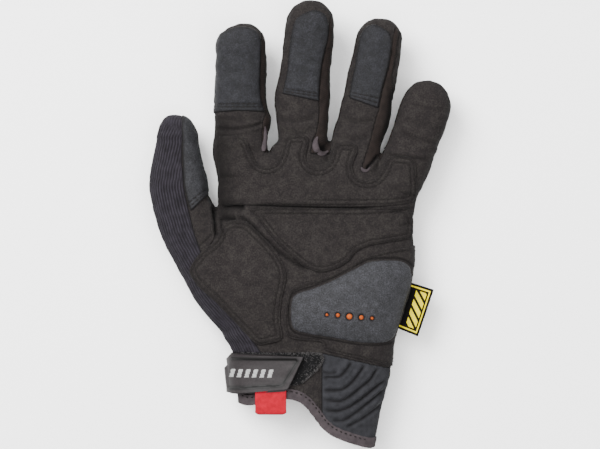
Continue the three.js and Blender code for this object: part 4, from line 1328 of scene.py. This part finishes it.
# %% [markdown]
# ### The ribbed back of the thumb
#
# The outer side of the thumb is knit, and its ribs run along the thumb. A voxel skin is too
# coarse for ribs. So we lay a sleeve: a grid whose columns follow the thumb and whose rows go
# round it, from the seam on the palm side over the outer edge to the seam at the back. Rays
# from a line inside the thumb find the skin.

# %% Ribbed sleeve
THUMB_CORE = shares([
    (-0.15, -0.37), (-0.22, -0.31), (-0.3, -0.25), (-0.4, -0.17), (-0.5, -0.095),
    (-0.565, -0.03), (-0.603, 0.03), (-0.62, 0.08), (-0.622, 0.13), (-0.612, 0.175)])
RIB_PITCH = 1.6  # mm
RIB_DEPTH = 0.55
TIP_TILT = 86  # degrees by which the last rays lean towards the thumb's tip
SEARCH_END = 70.0  # the y past the thumb's tip at which a search along its seam ends, in mm


def numbered_grid(bm, columns, rows):
    """Adds a flat grid, and gives its points by column and row."""
    bmesh.ops.create_grid(bm, x_segments=columns, y_segments=rows, size=0.5)
    return {(round((vert.co.x + 0.5) * columns), round((vert.co.y + 0.5) * rows)): vert
            for vert in bm.verts}


def face_up(bm):
    """Turns a sheet over if its highest face looks down."""
    if max(bm.faces, key=lambda face: face.calc_center_median().z).normal.z < 0:
        bmesh.ops.reverse_faces(bm, faces=bm.faces)


def seam_angle(start, ahead, out, side):
    """The angle round the core at which the plane across it meets the seam on one side."""
    xs, ys = zip(*THUMB_SEAM)
    best = None
    for y in np.arange(ys[0], SEARCH_END, 0.5):
        x = float(np.interp(y, ys, xs))
        gap = abs((x - start.x) * ahead.x + (y - start.y) * ahead.y)
        if best is None or gap < best[0]:
            best = (gap, x, y)
    point, _ = skin_surface.at(best[1], best[2], side)
    away = point - start
    return math.atan2(away.z, away.dot(out))


def thumb_sleeve(columns=300, rows=110, tip_rows=16):
    """The knit sleeve. Its last rows close over the thumb's tip."""
    core = smooth_line(THUMB_CORE, 12)
    total = len(core) - 1
    bm = bmesh.new()
    shade = bm.verts.layers.float.new("shade")
    grid = numbered_grid(bm, columns, rows)
    for row in range(rows + 1):
        past = max(0, row - (rows - tip_rows)) / tip_rows
        place = min(row / (rows - tip_rows), 1.0) * total
        i = min(int(place), total - 1)
        a, b = Vector(core[i]), Vector(core[i + 1])
        flat = a.lerp(b, place - i)
        start = Vector((flat.x, flat.y, MID_HEIGHT - THUMB_DROP))
        ahead = (b - a).normalized()
        ahead = Vector((ahead.x, ahead.y, 0))
        out = Vector((-ahead.y, ahead.x, 0))
        high = seam_angle(start, ahead, out, 1)
        low = seam_angle(start, ahead, out, -1)
        if low > 0:
            low -= 2 * math.pi
        tilt = past * math.radians(TIP_TILT)
        found, girths, edge_girth = [], [0.0], 0.0
        for column in range(columns + 1):
            angle = high + (low - high) * column / columns
            ray = (out * math.cos(angle) + Vector((0, 0, math.sin(angle)))) * math.cos(tilt)
            ray = (ray + ahead * math.sin(tilt)).normalized()
            found.append(skin_surface.along_ray(start, ray))
            if column:
                girths.append(girths[-1] + (found[-1][0] - found[-2][0]).length)
            if angle > 0:
                edge_girth = girths[-1]
        for column, ((point, normal), girth) in enumerate(zip(found, girths)):
            crown = abs(math.sin(math.pi * (girth - edge_girth) / RIB_PITCH)) ** 0.7
            ends = min(1.0, girth) * (1.0 - past ** 3)
            vert = grid[column, row]
            vert.co = point + normal * (RIB_DEPTH * (crown - 0.6) * ends - 0.05)
            # painted shade in the grooves between the ribs, and at the sleeve's palm-side seam
            vert[shade] = max((1 - crown) * ends, 0.9 * math.exp(-(girth / 0.7) ** 2))
    bmesh.ops.remove_doubles(bm, verts=bm.verts, dist=0.01)
    bmesh.ops.recalc_face_normals(bm, faces=bm.faces)
    face_up(bm)
    score(bm, 1, cuff, 1)
    return mesh_from(bm, "thumb_sleeve")


finish_piece(thumb_sleeve(), "thumb_back_panel", RIB_KNIT, 1.2)

# %% [markdown]
# ## The cuff
#
# A tape is folded over the hem. It is a strip of the skin pushed out, made thick enough to
# hold the cloth, and its rim is rounded with Bevel.

# %% Hem binding
BINDING_WIDTH = 4.9  # mm of tape on each side
BINDING = 0.9  # mm that the tape stands out
HEM_THICKNESS = 3.4  # mm, with the cloth that it holds


def rounded(mesh, width, segments=3):
    """A solid sheet with its rims rounded."""
    return through_modifiers(mesh, ("BEVEL", {
        "width": width, "segments": segments, "limit_method": "ANGLE",
        "angle_limit": math.radians(50), "use_clamp_overlap": True}))


def hem_strip():
    """The tape folded over the hem."""
    bm = bmesh.new()
    bm.from_mesh(skin)
    score(bm, 1, seam_y(beside(HEM_LINE, -BINDING)), 1)
    score(bm, 1, seam_y(beside(HEM_STRAIGHT, BINDING_WIDTH)), -1)
    bmesh.ops.remove_doubles(bm, verts=bm.verts, dist=0.15)
    for _ in range(6):
        bmesh.ops.smooth_vert(bm, verts=bm.verts, factor=0.5, use_axis_x=True, use_axis_z=True)
    bm.normal_update()
    for vert in bm.verts:
        vert.co += vert.normal * BINDING
        vert.co.z = max(vert.co.z, 0.0)
    return rounded(thickened(mesh_from(bm, "hem"), HEM_THICKNESS), 0.6)


hem_mesh = hem_strip()
hem_surface = Surface(hem_mesh)
finish_piece(hem_mesh, "hem_binding", MAUVE_TAPE)
hem_row = [point for point in beside(HEM_STRAIGHT, BINDING_WIDTH - 1.4)
           if -33 < point[0] < 40]
stitches("hem_stitches", hem_surface, [hem_row], pitch=2.8, length=1.2, thick=0.42)

# %% [markdown]
# ### The strap
#
# A rubber strap goes round the thumb's side of the wrist and lies on the pile patch. Drops
# from above would miss the side of the wrist, so the strap is wrapped: rays go out from a line
# inside the wrist, round from the palm side to the back.

# %% Loop patch, strap and cap
WRIST_X, WRIST_Z = 4.0, 17.0  # mm, the line inside the wrist
LOOP_PATCH = [
    [(238, 386), (240, 355)], [(241, 352), (270, 351.5), (303.9, 351.2)],
    [(304, 350.8), (320, 351.8), (323.9, 356.7), (320.6, 365.6), (311.7, 374.4),
     (301.7, 382.2), (291.7, 384.5), (275, 387)]]
STANDS_OFF = 2.6  # mm that the strap stands off the side of the wrist
STRAP_LOW, STRAP_HIGH = -97.0, -69.0  # the y between which it is wrapped, in mm
STRAP_FROM = math.radians(50)  # where it starts, as an angle round the wrist
WRAP_TURN, WRAP_ROW = math.radians(1.2), 0.5  # a wrapped face, round the wrist and along it
STRAP_END = spots([(283, 392), (289, 386), (303, 357)])


def wrap(lift, turn_to):
    """A sheet wrapped round the wrist, lifted over the skin, as an open mesh."""
    columns = int(abs(turn_to - STRAP_FROM) / WRAP_TURN)
    rows = int((STRAP_HIGH - STRAP_LOW) / WRAP_ROW)
    bm = bmesh.new()
    grid = numbered_grid(bm, columns, rows)
    turns = np.linspace(STRAP_FROM, turn_to, columns + 1)
    # the stiff strap stands off the wrist where it turns to the back
    away = lift + STANDS_OFF * np.exp(-((np.degrees(turns) - 180) / 30) ** 2)
    for row in range(rows + 1):
        y = STRAP_LOW + (STRAP_HIGH - STRAP_LOW) * row / rows
        start = Vector((WRIST_X, y, WRIST_Z))
        found = [skin_surface.along_ray(start, Vector((math.cos(turn), 0, math.sin(turn))))[0]
                 for turn in turns]
        line = np.array([(point.x, point.z) for point in found])
        for _ in range(40):  # it bridges the side seam instead of following it
            line[1:-1] = (line[:-2] + 2 * line[1:-1] + line[2:]) / 4
        ahead = np.gradient(line, axis=0)
        ahead /= np.hypot(*ahead.T)[:, None]
        line += np.column_stack([ahead[:, 1], -ahead[:, 0]]) * away[:, None]
        for column, (x, z) in enumerate(line):
            grid[column, row].co = (x, y, max(z, 0.0))
    bm.normal_update()
    face_up(bm)
    return bm


def trim_strap(bm, top_line, bottom_line, inset=0.0):
    """Cuts a wrapped sheet to the strap's edges, and its palm end to the slanted line."""
    score(bm, 1, seam_y(top_line), -1)
    score(bm, 1, seam_y(bottom_line), 1)
    ys, xs = zip(*sorted((y, x) for x, y in STRAP_END))
    top = faces_where(bm, lambda co: co.z > WRIST_Z)
    score(bm, 0, lambda co: float(np.interp(co.y, ys, xs)) - inset, -1, top)


STRAP_TOP = spots([(200, 362), (224, 361), (231, 353.4), (265, 354), (304, 356)])
STRAP_BOTTOM = spots([(200, 393), (227, 392.8), (237, 393), (284, 390), (310, 386)])
CAP_TOP = spots([(200, 371), (222, 370), (228.9, 363), (233, 353.6), (265, 354.5),
                 (304, 355.5)])
CAP_BOTTOM = spots([(200, 392), (227, 391.7), (237, 392.2), (284, 387.8), (310, 383)])
CAP_FIELD = spots([(218, 358), (232.8, 357.8), (296, 357.8), (297.5, 359.5), (283, 382.4),
                   (280, 384), (229, 387.2), (214, 387.6)])
BAND_LIFT, BAND_THICKNESS = 3.1, 1.6  # mm, the lift over the skin
CAP_LIFT, CAP_THICKNESS = 4.9, 1.8
FIELD_DEPTH = 0.8  # mm that the cap's field is sunk


def strap_and_cap():
    """Makes the strap and its cap with a sunk field, and gives the cap's surface."""
    band = wrap(BAND_LIFT, math.radians(262))
    trim_strap(band, STRAP_TOP, STRAP_BOTTOM)
    mesh = thickened(mesh_from(band, "band"), BAND_THICKNESS)
    finish_piece(rounded(mesh, 0.4), "strap_band", RUBBER)
    cap = wrap(CAP_LIFT, math.radians(196))
    trim_strap(cap, CAP_TOP, CAP_BOTTOM, 0.4)
    cap.normal_update()
    shade = cap.verts.layers.float.new("shade")
    plan = np.array([vert.co[:2] for vert in cap.verts])
    gap, _ = line_distance(plan, looped(CAP_FIELD))
    for vert, near in zip(cap.verts, gap):
        top = vert.normal.z > 0.3
        inside = inside_outline(vert.co, CAP_FIELD) and top
        step = float(fade(near if inside else -near, -0.2, 0.5))
        vert.co -= vert.normal * FIELD_DEPTH * step
        # painted shade along the step round the sunk field, on the cap's top
        vert[shade] = min(1.0, 1.8 * math.exp(-(near / 0.95) ** 2)) if top else 0.0
    open_cap = mesh_from(cap, "cap")
    mesh = thickened(open_cap, CAP_THICKNESS)
    finish_piece(rounded(mesh, 0.5), "strap_cap", RUBBER)
    return Surface(open_cap)


def inside_outline(point, outline):
    """Whether a point lies inside a closed outline in plan."""
    inside = False
    around = looped(outline)
    for (ax, ay), (bx, by) in zip(around, around[1:]):
        if (ay > point[1]) != (by > point[1]):
            if point[0] < ax + (point[1] - ay) / (by - ay) * (bx - ax):
                inside = not inside
    return inside


loop_outline = outline_of(*LOOP_PATCH)
loop_mesh = drape(loop_outline, 1.2, 0.5, step=0.8, edge_shade=0)
loop_surface = Surface(loop_mesh)
finish_piece(loop_mesh, "loop_patch", PILE, 0.8)
cap_surface = strap_and_cap()

# %% [markdown]
# A row of plain slanted bars is printed on the cap. They are thin sheets of ink, draped on it.

# %% Printed bars
BARS = 6
BAR_LEFT, BAR_STEP, BAR_WIDTH, BAR_LEAN = 229.0, 7.6, 5.0, 2.4  # pixels
BAR_TOP, BAR_BOTTOM = 368.0, 376.5


def printed_bars():
    """The row of bars, as one piece."""
    bm = bmesh.new()
    for number in range(BARS):
        left = BAR_LEFT + BAR_STEP * number
        run = [(left, BAR_BOTTOM), (left + BAR_WIDTH, BAR_BOTTOM - 0.4),
               (left + BAR_WIDTH + BAR_LEAN, BAR_TOP - 0.4), (left + BAR_LEAN, BAR_TOP)]
        bm.from_mesh(drape(spots(run), 0.12, 0.1, step=0.5, surface=cap_surface, edge_shade=0))
    finish_piece(mesh_from(bm, "bars"), "strap_print", PALE_INK)


printed_bars()

# %% [markdown]
# The fastener's loops are brushed fibre. Along the cut edge they stand up as a pale fuzz, and
# on the field they show as specks. Each tuft is a tiny lump with 20 faces.

# %% Fastener fibres
FUZZ_FROM, _ = spot(301, 0)  # the strap has worn the loops off beside its upper edge


def tufts(count, near_edge):
    """Lumps at random places, most of them within `near_edge` millimetres of the edge."""
    bm = bmesh.new()
    xs, ys = zip(*loop_outline)
    around = looped(loop_outline)
    made = 0
    while made < count:
        x, y = random.uniform(min(xs), max(xs)), random.uniform(min(ys), max(ys))
        rim = line_distance(np.array([(x, y)]), around)[0][0]
        if not inside_outline((x, y), loop_outline) or rim > near_edge * random.random() ** 2:
            continue
        if x < FUZZ_FROM and random.random() < 0.75:
            continue
        point, normal = loop_surface.at(x, y)
        size = random.uniform(0.12, 0.26)
        turn = Matrix.Rotation(random.uniform(0, math.pi), 4, "Z")
        stretch = Matrix.Diagonal((size * 2.0, size * 0.7, size, 1))
        place = Matrix.Translation(point + normal * 0.1)
        bmesh.ops.create_icosphere(bm, subdivisions=1, radius=1.0, matrix=place @ turn @ stretch)
        made += 1
    return mesh_from(bm, "tufts")


finish_piece(tufts(700, 1.6), "fastener_fuzz", FIBRE)
finish_piece(tufts(450, 9.0), "fastener_specks", FIBRE)

# %% [markdown]
# ### Pull tab and side label
#
# Both are tapes. The red tab is folded on itself at its lower end. The label, folded in two
# and sewn into the side seam on the glove, is made as one slightly curled sheet. It is woven
# in yellow on black: plain slanted stripes inside a thin frame, which the attribute "shade"
# draws.

# %% Pull tab
TAB_FOLD, TAB_TAPE = 2.6, 0.9  # thickness of the folded tab and of its tape, in mm
TAB_LIFT, TAB_SLOPE, TAB_HINGE_Y = 2.2, 0.12, -92  # it hangs down from the strap's edge


def tab(px_left, px_right, top, bottom):
    """A tape folded at its lower end: a flat strip bent round a half circle."""
    left, high = spot(px_left, top)
    right, low = spot(px_right, bottom)
    bm = bmesh.new()
    bmesh.ops.create_grid(bm, x_segments=24, y_segments=60, size=0.5)
    radius = TAB_FOLD / 2
    straight = (high - low) - radius
    length = 2 * straight + math.pi * radius
    for vert in bm.verts:
        x = left + (right - left) * (vert.co.x + 0.5)
        along = (vert.co.y + 0.5) * length
        if along < straight:
            y, z = high - along, radius
        elif along > length - straight:
            y, z = high - (length - along), -radius
        else:
            turn = (along - straight) / radius
            y, z = low + radius - math.sin(turn) * radius, math.cos(turn) * radius
        edge = min(x - left, right - x)
        y += 1.2 * (1 - min(edge / 2.5, 1.0)) ** 2 * max(0.0, 1 - (y - low) / 6)
        vert.co = (x, y, z)
    bmesh.ops.recalc_face_normals(bm, faces=bm.faces)
    return bm


def place_tab():
    """Hangs the tab under the strap."""
    bm = tab(255.5, 286.3, 388, 412.5)
    point, _ = skin_surface.at(*spot(271, 389))
    for vert in bm.verts:
        vert.co.z += point.z + TAB_LIFT - TAB_SLOPE * (TAB_HINGE_Y - vert.co.y)
    mesh = thickened(mesh_from(bm, "tab"), TAB_TAPE, 0.0)
    finish_piece(rounded(mesh, 0.3, 2), "pull_tab", RED_TAPE)


place_tab()

# %% Side label
LABEL_CORNERS = spots([(398, 328.4), (417.8, 336.4), (433.8, 289.6), (411.5, 282.6)])
LABEL_WIDTH, LABEL_LENGTH = 12.3, 24.0  # mm
FRAME_FROM, FRAME_TO = 1.2, 1.95  # mm from the rim
STRIPE_PITCH, STRIPE_GAP, STRIPE_LEAN = 4.6, 0.85, 0.9
STRIPES_RIM, STRIPES_LEFT = 2.9, 3.6  # mm that the stripes keep off the rim and the seam


def place_label():
    """A slightly curled label between its four corners."""
    corners = [Vector((x, y, 0)) for x, y in LABEL_CORNERS]
    bm = bmesh.new()
    bmesh.ops.create_grid(bm, x_segments=72, y_segments=130, size=0.5)
    shade = bm.verts.layers.float.new("shade")
    for vert in bm.verts:
        u, v = vert.co.x + 0.5, vert.co.y + 0.5
        # yellow is left on three free sides, as the frame, and in the stripes
        rim = min((1 - u) * LABEL_WIDTH, v * LABEL_LENGTH, (1 - v) * LABEL_LENGTH)
        across = v * LABEL_LENGTH + STRIPE_LEAN * u * LABEL_WIDTH
        stripe = abs(across % STRIPE_PITCH - STRIPE_PITCH / 2) > STRIPE_GAP
        in_stripe = rim > STRIPES_RIM and u * LABEL_WIDTH > STRIPES_LEFT and stripe
        vert[shade] = float(not (in_stripe or FRAME_FROM < rim < FRAME_TO))
        bottom = corners[0].lerp(corners[1], u)
        top = corners[3].lerp(corners[2], u)
        vert.co = bottom.lerp(top, v)
        vert.co.z = MID_HEIGHT + 1.2 * math.sin(u * 2.4) + 0.4 * math.sin(v * 5)
    bmesh.ops.recalc_face_normals(bm, faces=bm.faces)
    mesh = thickened(mesh_from(bm, "label"), 0.8, 0.0)
    finish_piece(rounded(mesh, 0.2, 2), "side_label", LABEL_CLOTH)


place_label()

# %% [markdown]
# ## The back of the hand
#
# The photograph doesn't show the back, so it is a fair guess: an impact glove of this kind has
# a moulded guard over the knuckles and one on each finger. They are draped from below.

# %% Guards
KNUCKLE_GUARD = shares([
    (-0.34, 0.02), (-0.375, 0.045), (-0.385, 0.1), (-0.36, 0.135), (-0.29, 0.142),
    (-0.15, 0.124), (0, 0.131), (0.12, 0.114), (0.26, 0.116), (0.38, 0.094), (0.49, 0.1),
    (0.55, 0.082), (0.545, 0.04), (0.5, 0.01), (0.3, 0.012), (0.1, 0.02), (-0.15, 0.022)])
KNUCKLE_GROOVES = (-0.16, 0.12, 0.37)  # shares of the palm's width
# shares of a finger's length and width
FINGER_GUARD = [(0.36, -0.2), (0.355, 0), (0.36, 0.2), (0.41, 0.3), (0.5, 0.3), (0.62, 0.3),
                (0.7, 0.17), (0.71, 0), (0.7, -0.17), (0.62, -0.3), (0.5, -0.3), (0.41, -0.3)]
FINGER_GROOVES = (0.47, 0.585)


def groove(depth, width, lines):
    """Grooves along straight lines in plan, for drape's extra."""
    def push(plan, rim):
        total = np.zeros(len(plan))
        for line in lines:
            gap, _ = line_distance(plan, line)
            total -= depth * np.exp(-(gap / width) ** 4)
        return total * fade(rim, 0.3, 1.2)
    return push


grooves = [shares([(x, 0.065), (x, 0.3)]) for x in KNUCKLE_GROOVES]
guard = drape(smooth_line(KNUCKLE_GUARD, 4, closed=True), 5.5, 3.0, step=0.9, side=-1,
              extra=groove(3.0, 0.9, grooves))
finish_piece(guard, "knuckle_guard", RUBBER)

for name in FINGERS:
    length, width = FINGERS[name][3:5]
    outline = [on_finger(name, along * length, aside * width) for along, aside in FINGER_GUARD]
    lines = [[on_finger(name, along * length, aside * width) for aside in (-0.4, 0.4)]
             for along in FINGER_GROOVES]
    guard = drape(smooth_line(outline, 4, closed=True), 3.0, 2.0, step=0.8, side=-1,
                  extra=groove(1.8, 0.8, lines))
    finish_piece(guard, f"{name}_guard", RUBBER)

# %% [markdown]
# ## Stage and light
#
# The photograph has a plain white ground and soft light from all around. Two large area lamps,
# one above and one on the thumb's side beyond the fingertips, do most of the work. A weak one on
# the other side and a white dome all around keep the dark cloth readable.

# %% Stage and light
FLOOR_HALF = 4000.0  # mm


def stage_floor():
    bm = bmesh.new()
    bmesh.ops.create_grid(bm, x_segments=1, y_segments=1, size=FLOOR_HALF)
    mesh = mesh_from(bm, "floor")
    mesh.transform(Matrix.Scale(MM, 4))
    mesh.materials.append(FLOOR_PAPER)
    floor = add_object("floor", mesh)


# name, energy, size in m, place in m
LAMPS = [
    ("key_light", 85.0, 0.9, (-0.75, 0.75, 1.3)),
    ("fill_light", 14.0, 1.4, (0.9, -0.6, 1.2)),
    ("top_light", 70.0, 1.8, (0.0, 0.1, 2.0)),
]
DOME = 0.55  # strength of the even light from all around


def add_lamps():
    for name, energy, size, place in LAMPS:
        data = bpy.data.lights.new(name, "AREA")
        data.energy = energy
        data.size = size
        lamp = add_object(name, data)
        lamp.location = place
        lamp.rotation_euler = Vector(place).to_track_quat("Z", "Y").to_euler()
    world = bpy.data.worlds.new("studio")
    world.use_nodes = True
    world.node_tree.nodes["Background"].inputs["Color"].default_value = (1, 1, 1, 1)
    world.node_tree.nodes["Background"].inputs["Strength"].default_value = DOME
    bpy.context.scene.world = world


stage_floor()
add_lamps()
